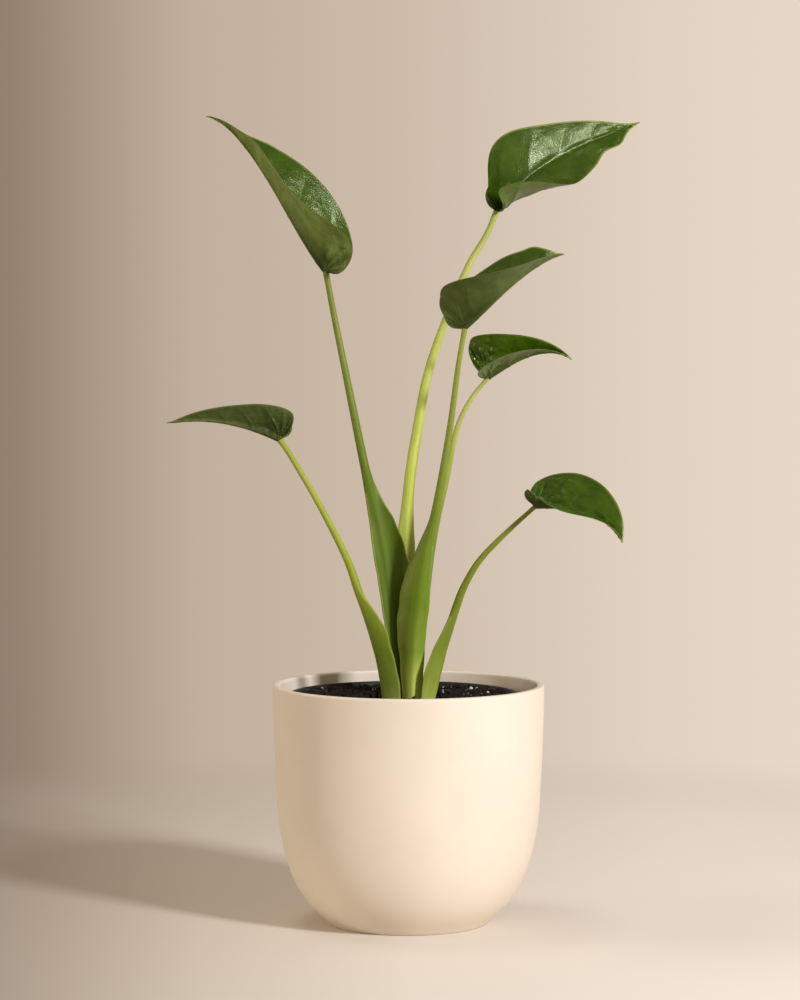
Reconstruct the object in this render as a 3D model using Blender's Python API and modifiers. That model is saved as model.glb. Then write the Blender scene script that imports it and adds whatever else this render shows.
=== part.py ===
"""Potted alocasia, modelled in metres with +Z up.

The origin is the middle of the cover pot's foot, on the surface that it
stands on.  -Y is the plant's front.  A cream ceramic cover pot holds a thin
plastic grower's pot filled with soil, and six leaves grow from the crown.
Each leaf is a petiole, whose base widens into a sheath, and a cupped blade.
"""

import math

import bmesh
import bpy
import numpy as np

# ------------------------------------------------------------------ cover pot
POT_HEIGHT = 0.1245
POT_RIM_R = 0.0706          # outer radius at the rim
POT_WAIST_R = 0.0688        # outer radius where the wall starts to turn in
POT_WAIST_Z = 0.0669
POT_FOOT_R = 0.0417         # flat foot
POT_WALL = 0.0038
POT_FLOOR = 0.0060
POT_STEPS = 60

# --------------------------------------------------------------- grower's pot
LINER_X = -0.0026           # it stands a little off centre
LINER_TOP_Z = 0.1196
LINER_BASE_Z = POT_FLOOR + 0.0003
LINER_RIM_R = 0.0600
LINER_TOP_R = 0.0580
LINER_BASE_R = 0.0385
LINER_WALL = 0.0010
LINER_RIM_DROP = 0.0060
LINER_STEPS = 44
DRAIN_R = 0.0040
DRAIN_RING = 0.0260
DRAIN_COUNT = 6

# ------------------------------------------------------------------------ soil
SOIL_Z = 0.1178
SOIL_R = 0.0562             # at the top
SOIL_STEPS = 48
CROWN_Z = 0.1120            # where the petioles start, below the soil surface
GAP = 0.0003

# ---------------------------------------------------------------------- leaves
BLADE_THICKNESS = 0.0008
WING_HALF = 0.00040         # half the thickness of a sheath's wing

# Every leaf, in millimetres and degrees.
#   path        the middle of the petiole's round rib, from the foot up
#   radius      (height, radius of the rib) pairs
#   inward      compass direction in which the petiole's groove opens
#   sheath      height where the wings end, height where they are widest, the
#               two wings' width there, and their width at the foot
#   seat        where the petiole meets the blade, on the blade's midrib
#   length, half_width, lobe
#               midrib length, width of the left and right half, and how far
#               each basal lobe reaches back, as a share of the length
#   shape       how much of the arrow and the full-shouldered outline is mixed in
#   taper       how much narrower the left and right half get towards the tip
#   drip        how much thinner the last quarter of the blade is
#   swell       local widenings of one half: the half, then (share of the
#               length, millimetres, spread) of each
#   rise        the midrib's slope at the seat, its linear and quadratic change
#               towards the tip, and the extra bend of the drip tip
#   heading     compass heading of the midrib and its change
#   roll        turn about the midrib at the seat, and its change
#   fold, curl  left and right half, at the seat, half way and at the tip: how
#               steeply the half leaves the midrib, and how far it goes on
#               turning before its margin
LEAVES = {
    "upper_left": dict(
        path=[(-4.8, 6.0, 112), (-6.4, 6.3, 140), (-9.6, 7.2, 168), (-15.6, 8.4, 204),
              (-23.4, 9.8, 240), (-32.1, 11.6, 283), (-39.2, 13.2, 318)],
        radius=[(112, 2.9), (200, 2.9), (240, 2.3), (283, 1.9), (340, 1.45)],
        inward=-70, sheath=(238, 185, 10.5, 3.0, 1.5, 1.5),
        seat=(-43.2, 14.0, 339.6), length=105.3, half_width=(30.6, 29.2),
        lobe=(0.069, 0.004), shape=(-0.19, 0.09), taper=(0.02, 0.28), drip=0.42,
        rise=(51.6, 41.7, -57.9, -26.9), heading=(169.1, -17.5, 23.3), roll=(-4.4, 0.4),
        fold=((38, 36, 43), (16, 43, 20)), curl=((52, -15, 19), (20, 11, 31))),
    "upper_right": dict(
        path=[(-0.8, 13.5, 112), (-1.3, 15.5, 150), (-1.6, 19.0, 190), (0.2, 22.9, 225),
              (4.2, 26.6, 253), (10.2, 31.1, 285), (19.2, 35.2, 312), (31.1, 39.4, 341),
              (41.5, 42.4, 359)],
        radius=[(112, 2.9), (205, 3.1), (250, 2.8), (285, 2.4), (324, 2.0), (372, 1.45)],
        inward=-90, sheath=(225, 175, 3.0, 3.0, 1.0, 1.0),
        seat=(47.0, 44.0, 371.9), length=98.9, half_width=(28.7, 31.4),
        lobe=(0.03, 0.016), shape=(-0.07, -0.4), taper=(-0.12, -0.03),
        swell=(1, ((0.72, -1.7, 0.05), (0.84, 2.3, 0.045))),
        rise=(51.8, -64.2, 29.5, 9.9), heading=(28.3, -12.1, -0.4), roll=(64.1, 3.8),
        fold=((50, 14, 36), (56, -6, 33)), curl=((39, -4, 10), (96, 73, -5))),
    "centre": dict(
        path=[(2.9, -1.5, 112), (3.4, -3.2, 141), (6.0, -5.6, 172), (9.6, -7.9, 197),
              (13.6, -10.4, 213), (17.6, -12.8, 235), (21.8, -16.0, 262), (25.3, -19.2, 289)],
        radius=[(112, 2.9), (170, 3.0), (200, 2.6), (231, 2.0), (262, 1.6), (310, 1.25)],
        inward=85, sheath=(211, 165, 9.5, 2.5, 3.5, 1.5),
        seat=(28.7, -22.0, 309.7), length=65.2, half_width=(21.5, 23.5),
        lobe=(0.114, 0.073), shape=(-0.07, 0.43), taper=(0.0, 0.0),
        swell=(0, ((0.81, 1.6, 0.06), (0.94, -0.8, 0.03))), rise=(38.9, 20.7, -39.1, -15.4),
        heading=(-26.7, 8.6, 39.8), roll=(1.3, 27.3),
        fold=((65, 50, 57), (77, 37, 53)), curl=((34, -14, 3), (17, 6, -4))),
    "mid_right": dict(
        path=[(4.8, 5.5, 112), (6.0, 5.4, 141), (8.6, 5.3, 168), (11.2, 5.4, 191),
              (14.6, 5.5, 210), (19.6, 5.6, 231), (25.2, 5.8, 257), (32.5, 5.9, 272.5)],
        radius=[(112, 2.3), (200, 2.3), (230, 1.8), (257, 1.4), (285, 1.05)],
        inward=165, sheath=(205, 170, 1.6, 1.6, 0.8, 0.8),
        seat=(41.6, 6.0, 284.1), length=48.1, half_width=(21.7, 18.4),
        lobe=(0.083, 0.023), shape=(0.07, -0.4), taper=(0.08, -0.04),
        rise=(30.7, 13.7, -75.9, -16.8), heading=(-17.8, 19.4, -19.8), roll=(46.4, 19.3),
        fold=((31, 62, 68), (39, 67, 62)), curl=((25, 22, -19), (32, 8, 21))),
    "lower_right": dict(
        path=[(9.9, -4.4, 112), (16.2, -4.8, 138.5), (20.3, -6.6, 152), (24.6, -8.2, 165),
              (28.9, -9.6, 176.4), (36.9, -11.5, 190), (50.2, -13.7, 204.1)],
        radius=[(112, 2.8), (138, 2.8), (160, 2.3), (176, 1.85), (190, 1.6), (204, 1.35),
                (219, 1.05)],
        inward=150, sheath=(168, 130, 5.0, 2.0, 3.0, 1.0),
        seat=(65.4, -16.0, 218.1), length=54.2, half_width=(19.7, 18.0),
        lobe=(0.091, 0.06), shape=(0.38, 0.69), taper=(0.0, 0.0), rise=(1.4, -6.2, -54.1, -6.8),
        heading=(-19.8, -21.1, 11.2), roll=(13.3, 6.1),
        fold=((27, 41, 42), (46, 15, 55)), curl=((22, 24, 15), (6, -1, 19))),
    "lower_left": dict(
        path=[(-10.0, -3.0, 112), (-13.1, -4.3, 133.5), (-17.3, -6.2, 149.5),
              (-22.0, -8.6, 163.5), (-26.0, -10.4, 174), (-32.2, -12.8, 191.6),
              (-45.5, -17.4, 218.2), (-59.7, -22.0, 243.1)],
        radius=[(112, 2.9), (133, 3.0), (149, 2.8), (170, 2.3), (191, 1.95), (218, 1.6),
                (253, 1.4)],
        inward=35, sheath=(178, 150, 2.0, 5.5, 1.0, 5.5),
        seat=(-66.1, -24.0, 252.9), length=59.1, half_width=(15.8, 14.7),
        lobe=(0.05, 0.072), shape=(0.6, -0.34), taper=(0.0, 0.0), rise=(25.2, -28.4, -9.0, 4.6),
        heading=(184.6, 13.1, -13.1), roll=(10.2, 5.4),
        fold=((52, 39, 63), (52, 44, 51)), curl=((29, 26, -7), (26, 22, -21))),
}
SEAT_GAP = 1.0              # mm from the petiole's end to the blade's midrib


# ---------------------------------------------------------------- small tools
def catmull_rom(points, count):
    """A smooth line through the points, sampled evenly in the parameter."""
    pts = np.asarray(points, float)
    t = np.linspace(0.0, len(pts) - 1, count)
    i = np.minimum(t.astype(int), len(pts) - 2)
    f = (t - i)[:, None]
    p = np.vstack([2 * pts[0] - pts[1], pts, 2 * pts[-1] - pts[-2]])
    a, b, c, d = p[i], p[i + 1], p[i + 2], p[i + 3]
    return 0.5 * (2 * b + (c - a) * f + (2 * a - 5 * b + 4 * c - d) * f ** 2
                  + (3 * b - a - 3 * c + d) * f ** 3)


def unit(v):
    return v / np.linalg.norm(v, axis=-1, keepdims=True)


def make_material(name, colour, roughness, metallic=0.0):
    mat = bpy.data.materials.new(name)
    mat.use_nodes = True
    mat.diffuse_color = (*colour, 1.0)
    shader = mat.node_tree.nodes["Principled BSDF"]
    shader.inputs["Base Color"].default_value = (*colour, 1.0)
    shader.inputs["Roughness"].default_value = roughness
    shader.inputs["Metallic"].default_value = metallic
    return mat


def link(obj, collection, parent=None):
    for c in list(obj.users_collection):
        c.objects.unlink(obj)
    collection.objects.link(obj)
    if parent is not None:
        obj.parent = parent
    return obj


def mesh_object(name, bm, collection, material, parent=None, smooth=40.0):
    mesh = bpy.data.meshes.new(name)
    bm.to_mesh(mesh)
    bm.free()
    mesh.shade_smooth()
    mesh.set_sharp_from_angle(angle=math.radians(smooth))
    mesh.materials.append(material)
    obj = bpy.data.objects.new(name, mesh)
    return link(obj, collection, parent)


def turned(name, profile, steps, collection, material, parent=None, location=(0, 0, 0)):
    """A closed solid of revolution.  The profile runs from the axis inside,
    over the top and down the outer side back to the axis."""
    bm = bmesh.new()
    verts = [bm.verts.new((r, 0.0, z)) for r, z in profile]
    for a, b in zip(verts, verts[1:]):
        bm.edges.new((a, b))
    obj = mesh_object(name, bm, collection, material, parent, 35.0)
    obj.location = location
    screw = obj.modifiers.new("turn", "SCREW")
    screw.angle = 2 * math.pi
    screw.steps = screw.render_steps = steps
    screw.axis = "Z"
    screw.use_merge_vertices = True
    screw.merge_threshold = 0.00001
    screw.use_smooth_shade = True
    return obj


def bezier(p0, p1, p2, p3, count):
    t = np.linspace(0.0, 1.0, count)[:, None]
    p0, p1, p2, p3 = (np.asarray(p, float) for p in (p0, p1, p2, p3))
    return ((1 - t) ** 3 * p0 + 3 * (1 - t) ** 2 * t * p1
            + 3 * (1 - t) * t ** 2 * p2 + t ** 3 * p3)


# -------------------------------------------------------------------- the pots
def pot_side(offset, z_top, z_low, count):
    """The cover pot's outer side from the rim to the foot, moved inwards by
    offset along its own normal."""
    drop = POT_WAIST_Z - POT_HEIGHT
    t = np.linspace(0.0, 1.0, 6)[:-1]
    wall = np.stack([POT_RIM_R + (POT_WAIST_R - POT_RIM_R) * t ** 1.7,
                     POT_HEIGHT + drop * t], -1)
    slope = (POT_RIM_R - POT_WAIST_R) * 1.7 / -drop
    turn = bezier((POT_WAIST_R, POT_WAIST_Z),
                  (POT_WAIST_R - slope * 0.0524, POT_WAIST_Z - 0.0524),
                  (POT_FOOT_R + 0.0060, 0.0080),
                  (POT_FOOT_R, 0.0), 12)
    side = np.vstack([wall, turn])
    along = unit(np.gradient(side, axis=0))
    inward = np.stack([along[:, 1], -along[:, 0]], -1)
    side = side + offset * inward
    keep = (side[:, 1] <= z_top + 1e-9) & (side[:, 1] >= z_low - 1e-9)
    return side[keep]


def build_cover_pot(collection, material, parent):
    outer = pot_side(0.0, POT_HEIGHT - 0.0016, 0.0012, 24)
    inner = pot_side(POT_WALL, POT_HEIGHT - 0.0016, POT_FLOOR + 0.0060, 24)
    floor_r = inner[-1][0]
    # the lip is half round, the inside corner and the foot's edge are eased
    mid = 0.5 * (outer[0] + inner[0])
    half = 0.5 * (outer[0][0] - inner[0][0])
    lip = [(mid[0] - half * math.cos(a), POT_HEIGHT - 0.0016 + 0.0016 * math.sin(a))
           for a in np.linspace(0.0, math.pi, 7)[1:-1]]
    corner = bezier(inner[-1], inner[-1] + (inner[-1] - inner[-2]) * 1.2,
                    (floor_r - 0.0045, POT_FLOOR), (floor_r - 0.0085, POT_FLOOR), 6)[1:]
    foot = [(POT_FOOT_R + 0.0001, 0.0005), (POT_FOOT_R - 0.0010, 0.0)]
    profile = ([(0.0, POT_FLOOR)] + [tuple(p) for p in corner[::-1]]
               + [tuple(p) for p in inner[::-1]] + lip + [tuple(p) for p in outer]
               + foot + [(0.0, 0.0)])
    return turned("cover_pot", profile, POT_STEPS, collection, material, parent)


def liner_radius(z, top_r, base_r):
    return base_r + (top_r - base_r) * (z - LINER_BASE_Z) / (LINER_TOP_Z - LINER_BASE_Z)


def build_liner(collection, cutters, material, parent):
    w = LINER_WALL
    zt, zb = LINER_TOP_Z, LINER_BASE_Z
    r_in_top = LINER_TOP_R - w
    profile = [(0.0, zb + w), (LINER_BASE_R - w - 0.0030, zb + w),
               (LINER_BASE_R - w - 0.0006, zb + w + 0.0009), (LINER_BASE_R - w, zb + w + 0.0030),
               (r_in_top, zt - 0.0004), (r_in_top + 0.0004, zt),
               (LINER_RIM_R - 0.0006, zt), (LINER_RIM_R, zt - 0.0006),
               (LINER_RIM_R - 0.0003, zt - LINER_RIM_DROP),
               (LINER_RIM_R - 0.0012, zt - LINER_RIM_DROP),
               (liner_radius(zt - LINER_RIM_DROP, LINER_TOP_R, LINER_BASE_R), zt - LINER_RIM_DROP - 0.0003),
               (LINER_BASE_R, zb + 0.0030), (LINER_BASE_R - 0.0006, zb + 0.0008),
               (LINER_BASE_R - 0.0030, zb), (0.0, zb)]
    obj = turned("nursery_pot", profile, LINER_STEPS, collection, material, parent,
                 (LINER_X, 0.0, 0.0))
    for i in range(DRAIN_COUNT):
        a = 2 * math.pi * (i + 0.5) / DRAIN_COUNT
        bpy.ops.mesh.primitive_cylinder_add(
            vertices=20, radius=DRAIN_R, depth=0.006,
            location=(LINER_X + DRAIN_RING * math.cos(a), DRAIN_RING * math.sin(a), zb + w / 2))
        cutter = link(bpy.context.object, cutters)
        cutter.name = f"drain_cutter_{i + 1}"
        cutter.hide_render = True
        cutter.display_type = "WIRE"
        cut = obj.modifiers.new(f"drain_{i + 1}", "BOOLEAN")
        cut.operation = "DIFFERENCE"
        cut.solver = "EXACT"
        cut.object = cutter
    return obj


# -------------------------------------------------------------------- the soil
def soil_height(x, y):
    """Low, uneven heaps, flat enough to stay below the grower's pot's rim."""
    return (0.0006 * math.sin(190 * x + 1.3) * math.cos(160 * y)
            + 0.0004 * math.sin(410 * x - 260 * y + 0.7)
            + 0.0003 * math.cos(520 * y + 330 * x))


def build_soil(collection, cutters, material, parent, petioles):
    top_in = SOIL_R
    bottom_z = LINER_BASE_Z + LINER_WALL + GAP
    base_r = LINER_BASE_R - LINER_WALL - 0.0006
    bpy.ops.mesh.primitive_cylinder_add(vertices=SOIL_STEPS, radius=1.0, depth=1.0,
                                        end_fill_type="NOTHING")
    obj = link(bpy.context.object, collection, parent)
    obj.name = obj.data.name = "soil"
    bm = bmesh.new()
    bm.from_mesh(obj.data)
    rim = sorted((e for e in bm.edges if all(v.co.z > 0 for v in e.verts)), key=lambda e: e.index)
    foot = [e for e in bm.edges if all(v.co.z < 0 for v in e.verts)]
    bmesh.ops.edgeloop_fill(bm, edges=foot)
    for v in bm.verts:
        if v.co.z > 0:
            v.co.x, v.co.y, v.co.z = v.co.x * top_in, v.co.y * top_in, SOIL_Z
        else:
            v.co.x, v.co.y, v.co.z = v.co.x * (base_r - 0.0026), v.co.y * (base_r - 0.0026), bottom_z
    # the top: rings that close in to the middle, raised by soil_height
    ring = rim
    radius = top_in
    for r in (0.88, 0.72, 0.55, 0.38, 0.20):
        new = bmesh.ops.extrude_edge_only(bm, edges=ring)["geom"]
        moved = [v for v in new if isinstance(v, bmesh.types.BMVert)]
        ring = [e for e in new if isinstance(e, bmesh.types.BMEdge)]
        for v in moved:
            v.co.x *= top_in * r / radius
            v.co.y *= top_in * r / radius
            v.co.z = SOIL_Z + soil_height(v.co.x, v.co.y)
        radius = top_in * r
    bmesh.ops.edgeloop_fill(bm, edges=ring)
    # chamfer the foot so that it clears the grower's pot's inner corner
    low = [v for v in bm.verts if v.co.z < bottom_z + 1e-6]
    new = bmesh.ops.bisect_plane(bm, geom=bm.verts[:] + bm.edges[:] + bm.faces[:],
                                 plane_co=(0, 0, bottom_z + 0.0034), plane_no=(0, 0, 1))
    for v in (g for g in new["geom_cut"] if isinstance(g, bmesh.types.BMVert)):
        s = base_r / math.hypot(v.co.x, v.co.y)
        v.co.x, v.co.y = v.co.x * s, v.co.y * s
    bmesh.ops.recalc_face_normals(bm, faces=bm.faces)
    bm.to_mesh(obj.data)
    bm.free()
    obj.data.materials.append(material)
    obj.data.shade_smooth()
    obj.data.set_sharp_from_angle(angle=math.radians(50))
    obj.location = (LINER_X, 0.0, 0.0)

    # one socket round all the petioles' feet: the hull of their lowest rings
    bm = bmesh.new()
    for p in petioles:
        for v in p.data.vertices:
            if v.co.z < SOIL_Z + 0.009:
                for dz in (-1, 1):
                    for k in range(8):
                        a = 2 * math.pi * k / 8
                        z = CROWN_Z - 0.0014 if dz < 0 else SOIL_Z + 0.006
                        bm.verts.new((v.co.x + 0.0006 * math.cos(a), v.co.y + 0.0006 * math.sin(a), z))
    hull = bmesh.ops.convex_hull(bm, input=bm.verts)
    waste = {g for g in hull["geom_interior"] + hull["geom_unused"] if isinstance(g, bmesh.types.BMVert)}
    bmesh.ops.delete(bm, geom=list(waste), context="VERTS")
    socket = mesh_object("crown_socket", bm, cutters, material)
    socket.hide_render = True
    socket.display_type = "WIRE"
    cut = obj.modifiers.new("crown", "BOOLEAN")
    cut.operation = "DIFFERENCE"
    cut.solver = "EXACT"
    cut.object = socket
    return obj


# --------------------------------------------------------------- the petioles
def petiole_path(leaf, count):
    """Points, tangents and the share of the way up, from foot to top."""
    seat = np.array(leaf["seat"])
    last = np.array(leaf["path"][-1])
    end = seat - unit(seat - last) * SEAT_GAP
    p = np.vstack([leaf["path"], [end]]) / 1000.0
    p = catmull_rom(p, 8 * (len(p) - 1) + 1)
    step = np.r_[0.0, np.cumsum(np.linalg.norm(np.diff(p, axis=0), axis=1))]
    want = np.linspace(0.0, step[-1], count)
    p = np.stack([np.interp(want, step, p[:, k]) for k in range(3)], -1)
    return p, unit(np.gradient(p, axis=0))


def petiole_section(r, wing_a, wing_b, count):
    """A closed outline across the petiole: a round stalk whose two sides draw
    out into wings that curl towards the plant's middle.  Returned as offsets
    along (inward, sideways); count points on the outer face, then count on
    the inner one."""
    psi = np.linspace(-0.5 * math.pi, 0.5 * math.pi, count)
    s = np.where(psi > 0, (r + wing_a) * np.sin(psi), (r + wing_b) * np.sin(psi))
    a = np.where(psi > 0, r + wing_a, r + wing_b)
    share = (a - r) / a
    x = np.minimum(np.abs(s) / a, 1.0)
    round_off = np.sqrt(np.maximum(1.0 - x * x, 0.0))
    h = r * round_off * ((1 - share) + share * (1 - x) ** 1.5) + WING_HALF * share
    curl = 1.15 * share * s / a
    k = np.where(np.abs(s) > 1e-9, curl / np.where(np.abs(s) > 1e-9, s, 1.0), 0.0)
    small = np.abs(k) < 1e-6
    ks = np.where(small, 1.0, k)
    inward = np.where(small, 0.0, (1 - np.cos(k * s)) / ks)
    side = np.where(small, s, np.sin(k * s) / ks)
    n_in, n_side = np.cos(k * s), -np.sin(k * s)
    most = np.maximum(wing_a, wing_b) / (r + np.maximum(wing_a, wing_b))
    outer = np.stack([inward - h * n_in, side - h * n_side], -1)
    flat = 1.0 - 0.55 * most
    inner = np.stack([inward + flat * h * n_in, side + flat * h * n_side], -1)
    return np.vstack([outer, inner[::-1]])


def petiole_rings(leaf, rings, count):
    points, tangents = petiole_path(leaf, rings)
    radius_z, radius = zip(*leaf["radius"])
    z_end, z_wide, wide_a, wide_b, foot_a, foot_b = leaf["sheath"]
    turn = math.radians(leaf["inward"])
    facing = np.array([math.cos(turn), math.sin(turn), 0.0])
    loops = []
    for p, t in zip(points, tangents):
        z = p[2] * 1000.0
        r = np.interp(z, radius_z, radius) / 1000.0
        up = min(max((z_end - z) / (z_end - z_wide), 0.0), 1.0)
        down = min(max((z_wide - z) / (z_wide - 112.0), 0.0), 1.0)
        open_ = up * up * (3 - 2 * up)
        ease = down * down * (3 - 2 * down)
        wing_a = (wide_a * open_ * (1 - ease) + foot_a * ease) / 1000.0
        wing_b = (wide_b * open_ * (1 - ease) + foot_b * ease) / 1000.0
        e_in = unit(facing - t * (facing @ t))
        e_side = np.cross(t, e_in)
        outline = petiole_section(r, wing_a, wing_b, count)
        loops.append(p + outline[:, :1] * e_in + outline[:, 1:] * e_side)
    return np.array(loops)


def build_petiole(name, leaf, collection, material, parent):
    """A loft through rings that turn from a sheath into a round stalk."""
    loops = petiole_rings(leaf, 17, 9)
    bm = bmesh.new()
    rows = [[bm.verts.new(p) for p in loop] for loop in loops]
    for low, high in zip(rows, rows[1:]):
        for i in range(len(low)):
            j = (i + 1) % len(low)
            bm.faces.new((low[j], low[i], high[i], high[j]))
    count = len(rows[0])
    half = count // 2
    for row, turn in ((rows[0], 1), (rows[-1], -1)):
        for i in range(half - 1):
            quad = (row[i], row[i + 1], row[count - 2 - i], row[count - 1 - i])
            bm.faces.new(quad[::turn])
    bmesh.ops.remove_doubles(bm, verts=bm.verts, dist=0.00002)
    bmesh.ops.recalc_face_normals(bm, faces=bm.faces)
    return mesh_object("petiole_" + name, bm, collection, material, parent, 60.0)


# ----------------------------------------------------------------- the blades
# Half of a blade laid flat, from the notch at the petiole round the basal lobe
# to the tip: (share of the length, share of the half width).  Three outlines,
# egg-shaped, arrow-shaped and full-shouldered, are mixed for each leaf.
EGG = [(0, 0), (-0.45, 0.10), (-0.9, 0.28), (-1.0, 0.52), (-0.62, 0.78), (0.03, 0.95),
       (0.15, 1.0), (0.32, 0.93), (0.50, 0.74), (0.66, 0.52), (0.80, 0.30),
       (0.90, 0.13), (0.96, 0.045), (1, 0)]
ARROW = [(0, 0), (-0.45, 0.15), (-0.9, 0.38), (-1.0, 0.62), (-0.7, 0.86), (0.0, 0.98),
         (0.10, 1.0), (0.25, 0.93), (0.42, 0.76), (0.58, 0.56), (0.74, 0.34),
         (0.87, 0.15), (0.95, 0.04), (1, 0)]
SHOULDER = [(0, 0), (-0.45, 0.10), (-0.9, 0.28), (-1.0, 0.50), (-0.62, 0.72), (0.03, 0.88),
            (0.18, 0.97), (0.38, 1.0), (0.58, 0.88), (0.74, 0.64), (0.86, 0.38),
            (0.93, 0.18), (0.97, 0.07), (1, 0)]
VEIN_LEAN = 0.25            # how far forward the veins reach, as a share of the length


def outline(leaf, side, count):
    egg, arrow, shoulder = (np.array(o, float) for o in (EGG, ARROW, SHOULDER))
    mix_a, mix_s = leaf["shape"]
    pts = egg + mix_a * (arrow - egg) + mix_s * (shoulder - egg)
    pts[pts[:, 0] < 0, 0] *= leaf["lobe"][side]
    line = catmull_rom(pts, count)
    u = np.clip((line[:, 0] - 0.45) / 0.45, 0.0, 1.0)
    narrow = 1.0 - leaf["taper"][side] * u * u * (3 - 2 * u)
    u = np.clip((line[:, 0] - 0.68) / 0.20, 0.0, 1.0)
    narrow = narrow * (1.0 - leaf.get("drip", 0.0) * u * u * (3 - 2 * u))
    width = np.maximum(line[:, 1], 0.0) * narrow * leaf["half_width"][side]
    swollen, places = leaf.get("swell", (2, ()))
    for at, more, spread in places if swollen == side else ():
        width = np.maximum(width + more * np.exp(-((line[:, 0] - at) / spread) ** 2) * (line[:, 1] > 0.02), 0.0)
    return line[:, 0] * leaf["length"], width


def three(values, q):
    """A quadratic through the values at the petiole, half way and the tip."""
    a, b, c = values
    return a * (1 - q) * (1 - 2 * q) + b * 4 * q * (1 - q) + c * q * (2 * q - 1)


def midrib(leaf, count=81):
    """Points along the midrib with the directions along, across and above it."""
    q = np.linspace(0.0, 1.0, count)
    e0, e1, e2, hook = leaf["rise"]
    a0, a1, a2 = leaf["heading"]
    rise = np.radians(e0 + e1 * q + e2 * q * q + hook * np.clip((q - 0.8) / 0.2, 0, 1) ** 2)
    head = np.radians(a0 + a1 * q + a2 * q * q)
    along = np.stack([np.cos(rise) * np.cos(head), np.cos(rise) * np.sin(head), np.sin(rise)], -1)
    points = np.zeros((count, 3))
    points[1:] = np.cumsum((along[1:] + along[:-1]) / 2, axis=0) * leaf["length"] / (count - 1)
    points += np.array(leaf["seat"])
    level = unit(np.cross([0.0, 0.0, 1.0], along))
    above = np.cross(along, level)
    r0, r1 = leaf["roll"]
    roll = np.radians(r0 + r1 * q)[:, None]
    across = np.cos(roll) * level + np.sin(roll) * above
    normal = -np.sin(roll) * level + np.cos(roll) * above
    return q * leaf["length"], points / 1000.0, along, across, normal


def blade_point(leaf, side, x, y, rib):
    """Where a point of the flat blade goes: x mm along the midrib from the
    petiole, y mm out to side 0 (left) or 1 (right).  Each half lifts from the
    midrib by its fold and goes on turning by its curl."""
    s, points, along, across, normal = rib
    on = np.clip(x, 0.0, leaf["length"])
    q = on / leaf["length"]
    pick = lambda table: np.stack([np.interp(on, s, table[:, k]) for k in range(3)], -1)
    start = pick(points) + pick(along) * (np.minimum(x, 0.0) / 1000.0)[..., None]
    fold = np.radians(three(leaf["fold"][side], q))
    curl = np.radians(three(leaf["curl"][side], q)) / leaf["half_width"][side]
    curl = np.where(np.abs(curl) < 1e-6, 1e-6, curl)
    out = (np.sin(fold + curl * y) - np.sin(fold)) / curl / 1000.0
    lift = (np.cos(fold) - np.cos(fold + curl * y)) / curl / 1000.0
    sign = 1.0 if side == 0 else -1.0
    return start + sign * out[..., None] * pick(across) + lift[..., None] * pick(normal)


def blade_half(leaf, side, rows, columns, rib):
    """A grid of one half.  Its columns follow the veins, which fan out from
    the petiole into the lobe and then leave the midrib one after another."""
    edge_x, edge_y = outline(leaf, side, rows)
    length = leaf["length"]
    from_x = length * np.clip((edge_x / length - VEIN_LEAN) / (1 - VEIN_LEAN), 0, 1)
    v = np.linspace(0.0, 1.0, columns + 1)[None, :]
    lean = (edge_x - from_x)[:, None]
    x = from_x[:, None] + lean * v - 0.10 * np.maximum(lean, 0) * np.sin(math.pi * v)
    return blade_point(leaf, side, x, edge_y[:, None] * v, rib)


def build_blade(name, leaf, collection, material, parent):
    rows, columns = 22, 5
    rib = midrib(leaf)
    left = blade_half(leaf, 0, rows, columns, rib)
    right = blade_half(leaf, 1, rows, columns, rib)
    bpy.ops.mesh.primitive_grid_add(x_subdivisions=2 * columns, y_subdivisions=rows - 1, size=1.0)
    obj = link(bpy.context.object, collection, parent)
    obj.name = obj.data.name = "blade_" + name
    bm = bmesh.new()
    bm.from_mesh(obj.data)
    for v in bm.verts:
        j = round((v.co.x + 0.5) * 2 * columns) - columns
        i = round((v.co.y + 0.5) * (rows - 1))
        v.co = (left[i, j] if j >= 0 else right[i, -j])
    bmesh.ops.remove_doubles(bm, verts=bm.verts, dist=0.00002)
    bm.to_mesh(obj.data)
    bm.free()
    obj.data.materials.append(material)
    obj.data.shade_smooth()
    shell = obj.modifiers.new("thickness", "SOLIDIFY")
    shell.thickness = BLADE_THICKNESS
    shell.offset = 0.0
    return obj


# ------------------------------------------------------------------------ main
def main():
    for obj in list(bpy.data.objects):
        bpy.data.objects.remove(obj, do_unlink=True)
    parts = bpy.data.collections.new("potted_alocasia")
    cutters = bpy.data.collections.new("cutters")
    for c in (parts, cutters):
        bpy.context.scene.collection.children.link(c)
    root = link(bpy.data.objects.new("potted_alocasia", None), parts)
    plant = link(bpy.data.objects.new("plant", None), parts, root)

    ceramic = make_material("cream_ceramic", (0.82, 0.70, 0.56), 0.75)
    plastic = make_material("black_plastic", (0.025, 0.023, 0.022), 0.5)
    earth = make_material("potting_soil", (0.028, 0.019, 0.012), 0.95)
    stalk = make_material("petiole_green", (0.30, 0.40, 0.07), 0.42)
    leaf_green = make_material("blade_green", (0.045, 0.11, 0.014), 0.28)

    build_cover_pot(parts, ceramic, root)
    build_liner(parts, cutters, plastic, root)
    petioles = [build_petiole(n, leaf, parts, stalk, plant) for n, leaf in LEAVES.items()]
    for n, leaf in LEAVES.items():
        build_blade(n, leaf, parts, leaf_green, plant)
    build_soil(parts, cutters, earth, root, petioles)
    bpy.context.view_layer.update()


main()
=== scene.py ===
"""Potted alocasia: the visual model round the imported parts, with its stage."""

import math

import bpy
import numpy as np
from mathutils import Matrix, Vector, noise


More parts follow.
